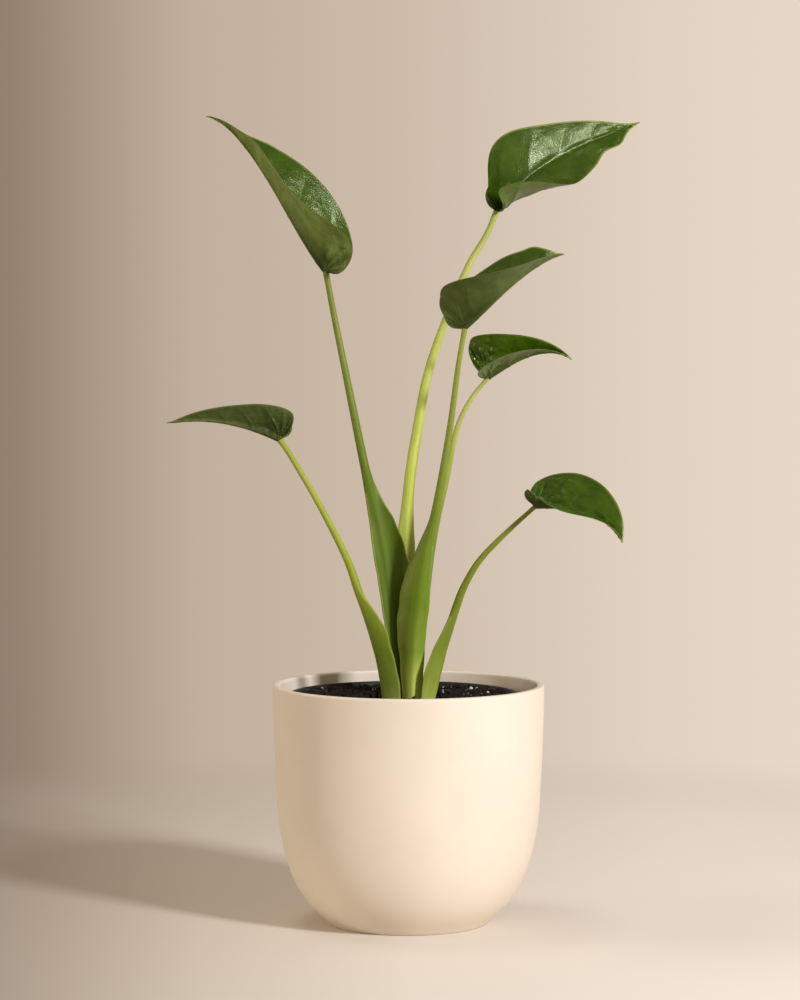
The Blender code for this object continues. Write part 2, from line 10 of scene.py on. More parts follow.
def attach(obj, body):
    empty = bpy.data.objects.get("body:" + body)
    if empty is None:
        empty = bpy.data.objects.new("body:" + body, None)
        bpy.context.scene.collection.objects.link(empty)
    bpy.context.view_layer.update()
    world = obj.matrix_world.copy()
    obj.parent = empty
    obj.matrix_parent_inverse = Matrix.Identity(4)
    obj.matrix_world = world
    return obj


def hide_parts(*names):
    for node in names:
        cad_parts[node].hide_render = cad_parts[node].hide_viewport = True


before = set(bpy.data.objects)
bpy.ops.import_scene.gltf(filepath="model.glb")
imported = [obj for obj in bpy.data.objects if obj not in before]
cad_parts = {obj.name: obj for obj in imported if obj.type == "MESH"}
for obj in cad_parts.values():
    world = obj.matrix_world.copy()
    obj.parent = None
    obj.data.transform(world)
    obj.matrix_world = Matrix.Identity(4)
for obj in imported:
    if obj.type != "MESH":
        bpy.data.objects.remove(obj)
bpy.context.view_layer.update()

# ------------------------------------------------------------------- the pots
POT_HEIGHT = 0.1245
POT_RIM_R = 0.0706
POT_WAIST_R = 0.0688
POT_WAIST_Z = 0.0669
POT_FOOT_R = 0.0417
POT_WALL = 0.0038
POT_FLOOR = 0.0060

LINER_X = -0.0026
LINER_TOP_Z = 0.1196
LINER_BASE_Z = 0.0063
LINER_RIM_R = 0.0600
LINER_TOP_R = 0.0580
LINER_BASE_R = 0.0385
LINER_WALL = 0.0010
LINER_RIM_DROP = 0.0060

SOIL_Z = 0.1178
SOIL_R = 0.0568
WING_HALF = 0.0004

# Every leaf, in millimetres and degrees.
#   path        the middle of the petiole's round rib, from the foot up
#   radius      (height, radius of the rib) pairs
#   inward      compass direction in which the petiole's groove opens
#   sheath      height where the wings end, height where they are widest, the
#               two wings' width there, and their width at the foot
#   seat        where the petiole meets the blade, on the blade's midrib
#   length, half_width, lobe
#               midrib length, width of the left and right half, and how far
#               each basal lobe reaches back, as a share of the length
#   shape       how much of the arrow and the full-shouldered outline is mixed in
#   taper       how much narrower the left and right half get towards the tip
#   drip        how much thinner the last quarter of the blade is
#   swell       local widenings of one half: the half, then (share of the
#               length, millimetres, spread) of each
#   rise        the midrib's slope at the seat, its linear and quadratic change
#               towards the tip, and the extra bend of the drip tip
#   heading     compass heading of the midrib and its change
#   roll        turn about the midrib at the seat, and its change
#   fold, curl  left and right half, at the seat, half way and at the tip: how
#               steeply the half leaves the midrib, and how far it goes on
#               turning before its margin
LEAVES = {
    "upper_left": dict(
        path=[(-4.8, 6.0, 112), (-6.4, 6.3, 140), (-9.6, 7.2, 168), (-15.6, 8.4, 204),
              (-23.4, 9.8, 240), (-32.1, 11.6, 283), (-39.2, 13.2, 318)],
        radius=[(112, 2.9), (200, 2.9), (240, 2.3), (283, 1.9), (340, 1.45)],
        inward=-70, sheath=(238, 185, 10.5, 3.0, 1.5, 1.5),
        seat=(-43.2, 14.0, 339.6), length=105.3, half_width=(30.6, 29.2),
        lobe=(0.069, 0.004), shape=(-0.19, 0.09), taper=(0.02, 0.28), drip=0.42,
        rise=(51.6, 41.7, -57.9, -26.9), heading=(169.1, -17.5, 23.3), roll=(-4.4, 0.4),
        fold=((38, 36, 43), (16, 43, 20)), curl=((52, -15, 19), (20, 11, 31))),
    "upper_right": dict(
        path=[(-0.8, 13.5, 112), (-1.3, 15.5, 150), (-1.6, 19.0, 190), (0.2, 22.9, 225),
              (4.2, 26.6, 253), (10.2, 31.1, 285), (19.2, 35.2, 312), (31.1, 39.4, 341),
              (41.5, 42.4, 359)],
        radius=[(112, 2.9), (205, 3.1), (250, 2.8), (285, 2.4), (324, 2.0), (372, 1.45)],
        inward=-90, sheath=(225, 175, 3.0, 3.0, 1.0, 1.0),
        seat=(47.0, 44.0, 371.9), length=98.9, half_width=(28.7, 31.4),
        lobe=(0.03, 0.016), shape=(-0.07, -0.4), taper=(-0.12, -0.03),
        swell=(1, ((0.72, -1.7, 0.05), (0.84, 2.3, 0.045))),
        rise=(51.8, -64.2, 29.5, 9.9), heading=(28.3, -12.1, -0.4), roll=(64.1, 3.8),
        fold=((50, 14, 36), (56, -6, 33)), curl=((39, -4, 10), (96, 73, -5))),
    "centre": dict(
        path=[(2.9, -1.5, 112), (3.4, -3.2, 141), (6.0, -5.6, 172), (9.6, -7.9, 197),
              (13.6, -10.4, 213), (17.6, -12.8, 235), (21.8, -16.0, 262), (25.3, -19.2, 289)],
        radius=[(112, 2.9), (170, 3.0), (200, 2.6), (231, 2.0), (262, 1.6), (310, 1.25)],
        inward=85, sheath=(211, 165, 9.5, 2.5, 3.5, 1.5),
        seat=(28.7, -22.0, 309.7), length=65.2, half_width=(21.5, 23.5),
        lobe=(0.114, 0.073), shape=(-0.07, 0.43), taper=(0.0, 0.0),
        swell=(0, ((0.81, 1.6, 0.06), (0.94, -0.8, 0.03))), rise=(38.9, 20.7, -39.1, -15.4),
        heading=(-26.7, 8.6, 39.8), roll=(1.3, 27.3),
        fold=((65, 50, 57), (77, 37, 53)), curl=((34, -14, 3), (17, 6, -4))),
    "mid_right": dict(
        path=[(4.8, 5.5, 112), (6.0, 5.4, 141), (8.6, 5.3, 168), (11.2, 5.4, 191),
              (14.6, 5.5, 210), (19.6, 5.6, 231), (25.2, 5.8, 257), (32.5, 5.9, 272.5)],
        radius=[(112, 2.3), (200, 2.3), (230, 1.8), (257, 1.4), (285, 1.05)],
        inward=165, sheath=(205, 170, 1.6, 1.6, 0.8, 0.8),
        seat=(41.6, 6.0, 284.1), length=48.1, half_width=(21.7, 18.4),
        lobe=(0.083, 0.023), shape=(0.07, -0.4), taper=(0.08, -0.04),
        rise=(30.7, 13.7, -75.9, -16.8), heading=(-17.8, 19.4, -19.8), roll=(46.4, 19.3),
        fold=((31, 62, 68), (39, 67, 62)), curl=((25, 22, -19), (32, 8, 21))),
    "lower_right": dict(
        path=[(9.9, -4.4, 112), (16.2, -4.8, 138.5), (20.3, -6.6, 152), (24.6, -8.2, 165),
              (28.9, -9.6, 176.4), (36.9, -11.5, 190), (50.2, -13.7, 204.1)],
        radius=[(112, 2.8), (138, 2.8), (160, 2.3), (176, 1.85), (190, 1.6), (204, 1.35),
                (219, 1.05)],
        inward=150, sheath=(168, 130, 5.0, 2.0, 3.0, 1.0),
        seat=(65.4, -16.0, 218.1), length=54.2, half_width=(19.7, 18.0),
        lobe=(0.091, 0.06), shape=(0.38, 0.69), taper=(0.0, 0.0), rise=(1.4, -6.2, -54.1, -6.8),
        heading=(-19.8, -21.1, 11.2), roll=(13.3, 6.1),
        fold=((27, 41, 42), (46, 15, 55)), curl=((22, 24, 15), (6, -1, 19))),
    "lower_left": dict(
        path=[(-10.0, -3.0, 112), (-13.1, -4.3, 133.5), (-17.3, -6.2, 149.5),
              (-22.0, -8.6, 163.5), (-26.0, -10.4, 174), (-32.2, -12.8, 191.6),
              (-45.5, -17.4, 218.2), (-59.7, -22.0, 243.1)],
        radius=[(112, 2.9), (133, 3.0), (149, 2.8), (170, 2.3), (191, 1.95), (218, 1.6),
                (253, 1.4)],
        inward=35, sheath=(178, 150, 2.0, 5.5, 1.0, 5.5),
        seat=(-66.1, -24.0, 252.9), length=59.1, half_width=(15.8, 14.7),
        lobe=(0.05, 0.072), shape=(0.6, -0.34), taper=(0.0, 0.0), rise=(25.2, -28.4, -9.0, 4.6),
        heading=(184.6, 13.1, -13.1), roll=(10.2, 5.4),
        fold=((52, 39, 63), (52, 44, 51)), curl=((29, 26, -7), (26, 22, -21))),
}


# ---------------------------------------------------------------- small tools
def catmull_rom(points, count):
    """A smooth line through the points, sampled evenly in the parameter."""
    pts = np.asarray(points, float)
    t = np.linspace(0.0, len(pts) - 1, count)
    i = np.minimum(t.astype(int), len(pts) - 2)
    f = (t - i)[:, None]
    p = np.vstack([2 * pts[0] - pts[1], pts, 2 * pts[-1] - pts[-2]])
    a, b, c, d = p[i], p[i + 1], p[i + 2], p[i + 3]
    return 0.5 * (2 * b + (c - a) * f + (2 * a - 5 * b + 4 * c - d) * f ** 2
                  + (3 * b - a - 3 * c + d) * f ** 3)


def unit(v):
    return v / np.maximum(np.linalg.norm(v, axis=-1, keepdims=True), 1e-12)


def smooth(low, high, x):
    t = np.clip((x - low) / (high - low), 0.0, 1.0)
    return t * t * (3 - 2 * t)


def bezier(p0, p1, p2, p3, count):
    t = np.linspace(0.0, 1.0, count)[:, None]
    p0, p1, p2, p3 = (np.asarray(p, float) for p in (p0, p1, p2, p3))
    return ((1 - t) ** 3 * p0 + 3 * (1 - t) ** 2 * t * p1
            + 3 * (1 - t) * t ** 2 * p2 + t ** 3 * p3)


def noise_at(points, scale, octaves=3, offset=(0.0, 0.0, 0.0)):
    """Layered noise at each point, about -1 to 1."""
    out = np.empty(len(points))
    shift = Vector(offset)
    for i, p in enumerate(points):
        out[i] = noise.fractal(Vector(p) * scale + shift, 0.9, 2.1, octaves)
    return out


def make_object(name, verts, faces, materials, slots=None, smooth_angle=None):
    mesh = bpy.data.meshes.new(name)
    mesh.from_pydata([tuple(v) for v in verts], [], faces)
    for m in materials:
        mesh.materials.append(m)
    if slots is not None:
        mesh.polygons.foreach_set("material_index", np.asarray(slots, np.int32))
    mesh.update()
    mesh.shade_smooth()
    if smooth_angle is not None:
        mesh.set_sharp_from_angle(angle=math.radians(smooth_angle))
    obj = bpy.data.objects.new(name, mesh)
    bpy.context.scene.collection.objects.link(obj)
    return obj


def add_float(obj, name, values):
    a = obj.data.attributes.new(name, "FLOAT", "POINT")
    a.data.foreach_set("value", np.asarray(values, np.float32).ravel())


def add_vector(obj, name, values):
    a = obj.data.attributes.new(name, "FLOAT_VECTOR", "POINT")
    a.data.foreach_set("vector", np.asarray(values, np.float32).ravel())


# ------------------------------------------------------------- material tools
class Graph:
    """A short way to write a material's nodes."""

    def __init__(self, name):
        self.mat = bpy.data.materials.new(name)
        self.mat.use_nodes = True
        self.tree = self.mat.node_tree
        self.shader = self.tree.nodes["Principled BSDF"]

    def node(self, kind, inputs=None, **settings):
        n = self.tree.nodes.new(kind)
        for k, v in settings.items():
            setattr(n, k, v)
        for k, v in (inputs or {}).items():
            self.put(n.inputs[k], v)
        return n

    def put(self, socket, value):
        if isinstance(value, bpy.types.NodeSocket):
            self.tree.links.new(value, socket)
        elif isinstance(value, (tuple, list)) and len(value) == 3 and socket.type == "RGBA":
            socket.default_value = (*value, 1.0)
        else:
            socket.default_value = value

    def attribute(self, name, output="Fac"):
        return self.node("ShaderNodeAttribute", attribute_name=name,
                         attribute_type="GEOMETRY").outputs[output]

    def place(self):
        return self.node("ShaderNodeTexCoord").outputs["Object"]

    def scaled(self, vector, scale):
        n = self.node("ShaderNodeMapping")
        self.put(n.inputs["Vector"], vector)
        n.inputs["Scale"].default_value = scale
        return n.outputs["Vector"]

    def noise(self, vector, scale, detail=3.0, rough=0.55, distortion=0.0):
        return self.node("ShaderNodeTexNoise", {"Vector": vector, "Scale": scale, "Detail": detail,
                                                "Roughness": rough, "Distortion": distortion}).outputs["Fac"]

    def cells(self, vector, scale, feature="F1", output="Distance"):
        return self.node("ShaderNodeTexVoronoi", {"Vector": vector, "Scale": scale},
                         feature=feature).outputs[output]

    def span(self, value, low, high, out_low=0.0, out_high=1.0):
        return self.node("ShaderNodeMapRange", {"Value": value, "From Min": low, "From Max": high,
                                                "To Min": out_low, "To Max": out_high}).outputs["Result"]

    def math(self, kind, a, b=0.0):
        n = self.node("ShaderNodeMath", operation=kind)
        self.put(n.inputs[0], a)
        self.put(n.inputs[1], b)
        return n.outputs[0]

    def mix(self, factor, a, b, blend="MIX"):
        n = self.node("ShaderNodeMix", data_type="RGBA", blend_type=blend)
        self.put(n.inputs[0], factor)
        self.put(n.inputs[6], a)
        self.put(n.inputs[7], b)
        return n.outputs[2]

    def ramp(self, value, stops):
        n = self.node("ShaderNodeValToRGB")
        self.put(n.inputs[0], value)
        while len(n.color_ramp.elements) < len(stops):
            n.color_ramp.elements.new(0.5)
        for e, (where, colour) in zip(n.color_ramp.elements, stops):
            e.position = where
        for e, (where, colour) in zip(n.color_ramp.elements, stops):
            e.color = (*colour, 1.0)
        return n.outputs["Color"]

    def bump(self, height, distance, strength=1.0, normal=None):
        n = self.node("ShaderNodeBump", {"Height": height, "Distance": distance, "Strength": strength})
        if normal is not None:
            self.put(n.inputs["Normal"], normal)
        return n.outputs["Normal"]

    def set(self, **values):
        for k, v in values.items():
            self.put(self.shader.inputs[k.replace("_", " ")], v)
        return self.mat


# --------------------------------------------------------------- the petioles
def petiole_path(leaf, count):
    """Points and tangents along the petiole, from foot to top."""
    seat = np.array(leaf["seat"])
    last = np.array(leaf["path"][-1])
    end = seat - unit(seat - last) * SEAT_GAP
    p = np.vstack([leaf["path"], [end]]) / 1000.0
    p = catmull_rom(p, 24 * (len(p) - 1) + 1)
    step = np.r_[0.0, np.cumsum(np.linalg.norm(np.diff(p, axis=0), axis=1))]
    want = np.linspace(0.0, step[-1], count)
    p = np.stack([np.interp(want, step, p[:, k]) for k in range(3)], -1)
    return p, unit(np.gradient(p, axis=0))


def petiole_section(r, wing_a, wing_b, count):
    """A closed outline across the petiole: a round stalk whose two sides draw
    out into wings that curl towards the plant's middle.  Returned as offsets
    along (inward, sideways); count points on the outer face, then count on
    the inner one."""
    psi = np.linspace(-0.5 * math.pi, 0.5 * math.pi, count)
    s = np.where(psi > 0, (r + wing_a) * np.sin(psi), (r + wing_b) * np.sin(psi))
    a = np.where(psi > 0, r + wing_a, r + wing_b)
    share = (a - r) / a
    x = np.minimum(np.abs(s) / a, 1.0)
    round_off = np.sqrt(np.maximum(1.0 - x * x, 0.0))
    h = r * round_off * ((1 - share) + share * (1 - x) ** 1.5) + WING_HALF * share * (0.35 + 0.65 * round_off)
    curl = 1.15 * share * s / a
    k = np.where(np.abs(s) > 1e-9, curl / np.where(np.abs(s) > 1e-9, s, 1.0), 0.0)
    small = np.abs(k) < 1e-6
    ks = np.where(small, 1.0, k)
    inward = np.where(small, 0.0, (1 - np.cos(k * s)) / ks)
    side = np.where(small, s, np.sin(k * s) / ks)
    n_in, n_side = np.cos(k * s), -np.sin(k * s)
    most = np.maximum(wing_a, wing_b) / (r + np.maximum(wing_a, wing_b))
    outer = np.stack([inward - h * n_in, side - h * n_side], -1)
    flat = 1.0 - 0.55 * most
    inner = np.stack([inward + flat * h * n_in, side + flat * h * n_side], -1)
    return np.vstack([outer, inner[::-1]])


def petiole_rings(leaf, rings, count, seed):
    points, tangents = petiole_path(leaf, rings)
    radius_z, radius = zip(*leaf["radius"])
    z_end, z_wide, wide_a, wide_b, foot_a, foot_b = leaf["sheath"]
    turn = math.radians(leaf["inward"])
    facing = np.array([math.cos(turn), math.sin(turn), 0.0])
    loops, wings = [], []
    for n, (p, t) in enumerate(zip(points, tangents)):
        z = p[2] * 1000.0
        r = np.interp(z, radius_z, radius) / 1000.0
        up = min(max((z_end - z) / (z_end - z_wide), 0.0), 1.0)
        down = min(max((z_wide - z) / (z_wide - 112.0), 0.0), 1.0)
        open_ = up * up * (3 - 2 * up)
        ease = down * down * (3 - 2 * down)
        wing_a = (wide_a * open_ * (1 - ease) + foot_a * ease) / 1000.0
        wing_b = (wide_b * open_ * (1 - ease) + foot_b * ease) / 1000.0
        # the free edge of a wing is never quite straight
        wave = 1.0 + 0.045 * math.sin(0.21 * z + seed) + 0.03 * math.sin(0.47 * z + 2.1 * seed)
        wing_a, wing_b = wing_a * wave, wing_b * (2.0 - wave)
        # a stalk swells a little where it runs into the blade
        left = 1.0 - n / (rings - 1.0)
        r *= 1.0 + 0.16 * math.exp(-(left / 0.018) ** 2)
        e_in = unit(facing - t * (facing @ t))
        e_side = np.cross(t, e_in)
        outline = petiole_section(r, wing_a, wing_b, count)
        loops.append(p + outline[:, :1] * e_in + outline[:, 1:] * e_side)
        wings.append((wing_a, wing_b, r))
    return np.array(loops), np.array(wings)


def build_petiole(name, leaf, material, seed):
    rings, half = 300, 30
    loops, wings = petiole_rings(leaf, rings, half, seed)
    count = 2 * half
    verts = loops.reshape(-1, 3)
    faces = []
    for i in range(rings - 1):
        a, b = i * count, (i + 1) * count
        for j in range(count):
            k = (j + 1) % count
            faces.append((a + k, a + j, b + j, b + k))
    for base, turn in ((0, 1), ((rings - 1) * count, -1)):
        for i in range(half - 1):
            quad = (base + i, base + i + 1, base + count - 2 - i, base + count - 1 - i)
            faces.append(quad[::turn])
    obj = make_object("petiole_" + name, verts, faces, [material])
    up = np.repeat(verts.reshape(rings, count, 3)[:, :, 2].mean(1) * 1000.0, count)
    psi = np.linspace(-1.0, 1.0, half)
    across = np.tile(np.r_[psi, psi[::-1]], rings)
    inner = np.tile(np.r_[np.zeros(half), np.ones(half)], rings)
    wing = np.where(across > 0, np.repeat(wings[:, 0], count), np.repeat(wings[:, 1], count))
    rib = np.repeat(wings[:, 2], count)
    reach = np.abs(np.sin(across * math.pi / 2)) * (rib + wing)
    to_edge = np.clip((rib + wing) - reach, 0, None) * 1000.0
    to_edge = np.where(wing * 1000.0 > 0.5, to_edge, 9.0)
    add_float(obj, "height_mm", up)
    add_float(obj, "edge_mm", to_edge)
    add_float(obj, "inner", inner)
    around = np.where(inner > 0.5, 2.0 - across, across)
    add_vector(obj, "flat", np.stack([around * 6.0, up, np.full(len(up), 37.0 * seed)], -1))
    # the bake's map: the stalk unrolled, with its two end caps beside it
    layer = obj.data.uv_layers.new(name="OFBake")
    loops_uv = np.zeros((len(obj.data.loops), 2), np.float32)
    n = 0
    step = np.r_[0.0, np.cumsum(np.linalg.norm(np.diff(loops.mean(1), axis=0), axis=1))]
    step = step / step[-1]
    for i in range(rings - 1):
        for j in range(count):
            for jj, ii in ((j + 1, i), (j, i), (j, i + 1), (j + 1, i + 1)):
                loops_uv[n] = (0.02 + 0.90 * jj / count, 0.01 + 0.98 * step[ii])
                n += 1
    for top in (0, 1):
        for i in range(half - 1):
            corners = [(0, i), (0, i + 1), (1, i + 1), (1, i)]
            for c, r in (corners if top == 0 else corners[::-1]):
                loops_uv[n] = (0.95 + 0.03 * c, 0.05 + 0.45 * top + 0.35 * r / half)
                n += 1
    layer.data.foreach_set("uv", loops_uv.ravel())
    return obj


# ----------------------------------------------------------------- the blades
EGG = [(0, 0), (-0.45, 0.10), (-0.9, 0.28), (-1.0, 0.52), (-0.62, 0.78), (0.03, 0.95),
       (0.15, 1.0), (0.32, 0.93), (0.50, 0.74), (0.66, 0.52), (0.80, 0.30),
       (0.90, 0.13), (0.96, 0.045), (1, 0)]
ARROW = [(0, 0), (-0.45, 0.15), (-0.9, 0.38), (-1.0, 0.62), (-0.7, 0.86), (0.0, 0.98),
         (0.10, 1.0), (0.25, 0.93), (0.42, 0.76), (0.58, 0.56), (0.74, 0.34),
         (0.87, 0.15), (0.95, 0.04), (1, 0)]
SHOULDER = [(0, 0), (-0.45, 0.10), (-0.9, 0.28), (-1.0, 0.50), (-0.62, 0.72), (0.03, 0.88),
            (0.18, 0.97), (0.38, 1.0), (0.58, 0.88), (0.74, 0.64), (0.86, 0.38),
            (0.93, 0.18), (0.97, 0.07), (1, 0)]
VEIN_LEAN = 0.25            # how far forward the veins reach, as a share of the length


def outline(leaf, side, count):
    egg, arrow, shoulder = (np.array(o, float) for o in (EGG, ARROW, SHOULDER))
    mix_a, mix_s = leaf["shape"]
    pts = egg + mix_a * (arrow - egg) + mix_s * (shoulder - egg)
    pts[pts[:, 0] < 0, 0] *= leaf["lobe"][side]
    line = catmull_rom(pts, count)
    u = np.clip((line[:, 0] - 0.45) / 0.45, 0.0, 1.0)
    narrow = 1.0 - leaf["taper"][side] * u * u * (3 - 2 * u)
    u = np.clip((line[:, 0] - 0.68) / 0.20, 0.0, 1.0)
    narrow = narrow * (1.0 - leaf.get("drip", 0.0) * u * u * (3 - 2 * u))
    width = np.maximum(line[:, 1], 0.0) * narrow * leaf["half_width"][side]
    swollen, places = leaf.get("swell", (2, ()))
    for at, more, spread in places if swollen == side else ():
        width = np.maximum(width + more * np.exp(-((line[:, 0] - at) / spread) ** 2) * (line[:, 1] > 0.02), 0.0)
    return line[:, 0] * leaf["length"], width


def three(values, q):
    """A quadratic through the values at the petiole, half way and the tip."""
    a, b, c = values
    return a * (1 - q) * (1 - 2 * q) + b * 4 * q * (1 - q) + c * q * (2 * q - 1)


def midrib(leaf, count=241):
    """Points along the midrib with the directions along, across and above it."""
    q = np.linspace(0.0, 1.0, count)
    e0, e1, e2, hook = leaf["rise"]
    a0, a1, a2 = leaf["heading"]
    rise = np.radians(e0 + e1 * q + e2 * q * q + hook * np.clip((q - 0.8) / 0.2, 0, 1) ** 2)
    head = np.radians(a0 + a1 * q + a2 * q * q)
    along = np.stack([np.cos(rise) * np.cos(head), np.cos(rise) * np.sin(head), np.sin(rise)], -1)
    points = np.zeros((count, 3))
    points[1:] = np.cumsum((along[1:] + along[:-1]) / 2, axis=0) * leaf["length"] / (count - 1)
    points += np.array(leaf["seat"])
    level = unit(np.cross([0.0, 0.0, 1.0], along))
    above = np.cross(along, level)
    r0, r1 = leaf["roll"]
    roll = np.radians(r0 + r1 * q)[:, None]
    across = np.cos(roll) * level + np.sin(roll) * above
    normal = -np.sin(roll) * level + np.cos(roll) * above
    return q * leaf["length"], points / 1000.0, along, across, normal


def blade_point(leaf, side, x, y, rib):
    """Where a point of the flat blade goes: x mm along the midrib from the
    petiole, y mm out to side 0 (left) or 1 (right).  Each half lifts from the
    midrib by its fold and goes on turning by its curl."""
    s, points, along, across, normal = rib
    on = np.clip(x, 0.0, leaf["length"])
    q = on / leaf["length"]
    pick = lambda table: np.stack([np.interp(on, s, table[:, k]) for k in range(3)], -1)
    start = pick(points) + pick(along) * (np.minimum(x, 0.0) / 1000.0)[..., None]
    fold = np.radians(three(leaf["fold"][side], q))
    curl = np.radians(three(leaf["curl"][side], q)) / leaf["half_width"][side]
    curl = np.where(np.abs(curl) < 1e-6, 1e-6, curl)
    out = (np.sin(fold + curl * y) - np.sin(fold)) / curl / 1000.0
    lift = (np.cos(fold) - np.cos(fold + curl * y)) / curl / 1000.0
    sign = 1.0 if side == 0 else -1.0
    return start + sign * out[..., None] * pick(across) + lift[..., None] * pick(normal)


BLADE_ROWS, BLADE_COLUMNS = 236, 68
BLADE_HALF = 0.00019         # half the blade's thickness between the veins
# Where the side veins reach the margin, as a share of the way round the outline.
VEINS = (0.13, 0.235, 0.335, 0.435, 0.53, 0.615, 0.695, 0.77, 0.84, 0.90)


def blade_grid(leaf, side, rib):
    """The middle surface of one half, with its place on the flat blade."""
    edge_x, edge_y = outline(leaf, side, BLADE_ROWS)
    length = leaf["length"]
    from_x = length * np.clip((edge_x / length - VEIN_LEAN) / (1 - VEIN_LEAN), 0, 1)
    u = np.linspace(0.0, 1.0, BLADE_COLUMNS + 1)
    v = (0.62 * u + 0.38 * u * u)[None, :]
    lean = (edge_x - from_x)[:, None]
    x = from_x[:, None] + lean * v - 0.10 * np.maximum(lean, 0) * np.sin(math.pi * v)
    y = edge_y[:, None] * v
    return blade_point(leaf, side, x, y, rib), x, y, np.broadcast_to(v, x.shape), from_x


def blade_relief(leaf, side, grid, seed):
    """Height in metres above the middle surface, and how much of a vein each
    point is, from 0 to 1."""
    point, x, y, v, _ = grid
    rows = len(x)
    t = np.linspace(0.0, 1.0, rows)[:, None]
    row_mm = np.linalg.norm(np.gradient(point, axis=0), axis=-1) * 1000.0 * (rows - 1)
    shake = np.array([math.sin(12.9 * k + 7.3 * seed + 3.1 * side) for k in range(len(VEINS))])
    veins = np.array(VEINS) + 0.011 * shake
    vein = np.zeros_like(x)
    fade = 1.0 - smooth(0.82, 0.97, v)
    for n, k in enumerate(veins):
        width = 0.62 * (1.0 - 0.55 * v)
        d = np.abs(t - k) * row_mm
        vein = np.maximum(vein, np.exp(-(d / width) ** 2) * fade)
    # finer veins half way between them
    fine = np.zeros_like(x)
    bounds_ = np.r_[0.0, veins, 1.0]
    for lo, hi in zip(bounds_[:-1], bounds_[1:]):
        for share, strength in ((0.33, 0.35), (0.66, 0.35)):
            k = lo + share * (hi - lo)
            d = np.abs(t - k) * row_mm
            fine = np.maximum(fine, strength * np.exp(-(d / 0.34) ** 2) * fade * smooth(0.05, 0.25, v))
    # where the side veins crowd together they fade into the blade
    row_gap = np.min(np.diff(veins)) * row_mm
    vein = vein * smooth(0.5, 2.2, row_gap)
    fine = fine * smooth(1.2, 3.2, row_gap)
    vein, fine = vein * VEINING[leaf["name"]], fine * VEINING[leaf["name"]]
    # the blade stands up in pillows between the side veins
    n = np.clip(np.searchsorted(bounds_, t[:, 0], side="right") - 1, 0, len(bounds_) - 2)
    lo, hi = bounds_[n][:, None], bounds_[n + 1][:, None]
    phase = np.clip((t - lo) / (hi - lo), 0.0, 1.0)
    pillow = np.sin(math.pi * phase) ** 0.85
    gap_mm = (hi - lo) * row_mm
    reach = smooth(0.02, 0.22, v) * (1.0 - smooth(0.62, 1.0, v))
    near = np.exp(-(np.maximum(x, 0.0) / (0.26 * leaf["length"])) ** 2)
    bulge, base = PILLOWS[leaf["name"]]
    height = np.minimum(0.085 * gap_mm, 0.75) * pillow * reach * (bulge + base * near)
    height = height - 0.16 * vein * (1.0 - 0.5 * v) - 0.05 * fine
    rough = noise_at((point * 1000.0).reshape(-1, 3), 0.16, 2, (seed, 3.7 * side, 1.9)).reshape(x.shape)
    bumps = noise_at((point * 1000.0).reshape(-1, 3), 0.42, 2, (9.1 * seed, side, 4.2)).reshape(x.shape)
    calm = smooth(0.0, 0.12, v) * (1.0 - smooth(0.75, 1.0, v))
    height = height + calm * (0.16 * rough + (0.05 + 0.16 * base * near) * bumps)
    # blisters: small domes that stand close together near the petiole
    near_seat = np.exp(-((np.maximum(x, 0.0) - 0.10 * leaf["length"]) / (0.30 * leaf["length"])) ** 2)
    spots = np.array([noise.voronoi(Vector((a * 0.30, b * 0.30, 5.0 * seed + side)))[0][0]
                      for a, b in zip(x.ravel(), y.ravel())]).reshape(x.shape)
    dome = np.clip(1.0 - spots / 0.62, 0.0, 1.0) ** 0.8
    height = height + 0.75 * BLISTERS[leaf["name"]] * dome * near_seat * smooth(0.05, 0.3, v) * (1.0 - smooth(0.8, 1.0, v))
    # the midrib lies in a groove
    height = height - 0.12 * np.exp(-(y / 1.5) ** 2) * smooth(0.0, 0.05, t)
    return height / 1000.0, np.maximum(vein, fine)


PILLOWS = {"upper_left": (0.8, 0.8), "upper_right": (0.90, 0.7), "centre": (0.35, 0.3),
           "mid_right": (0.6, 1.6), "lower_right": (0.8, 1.6), "lower_left": (0.5, 1.2)}
# how strongly the side veins show
VEINING = {"upper_left": 0.6, "upper_right": 0.25, "centre": 0.35, "mid_right": 0.6,
           "lower_right": 0.7, "lower_left": 0.35}
# smaller blisters between the finer veins near the petiole, strongest on the young leaves
BLISTERS = {"upper_left": 0.25, "upper_right": 0.10, "centre": 0.15, "mid_right": 1.25,
            "lower_right": 1.20, "lower_left": 0.70}


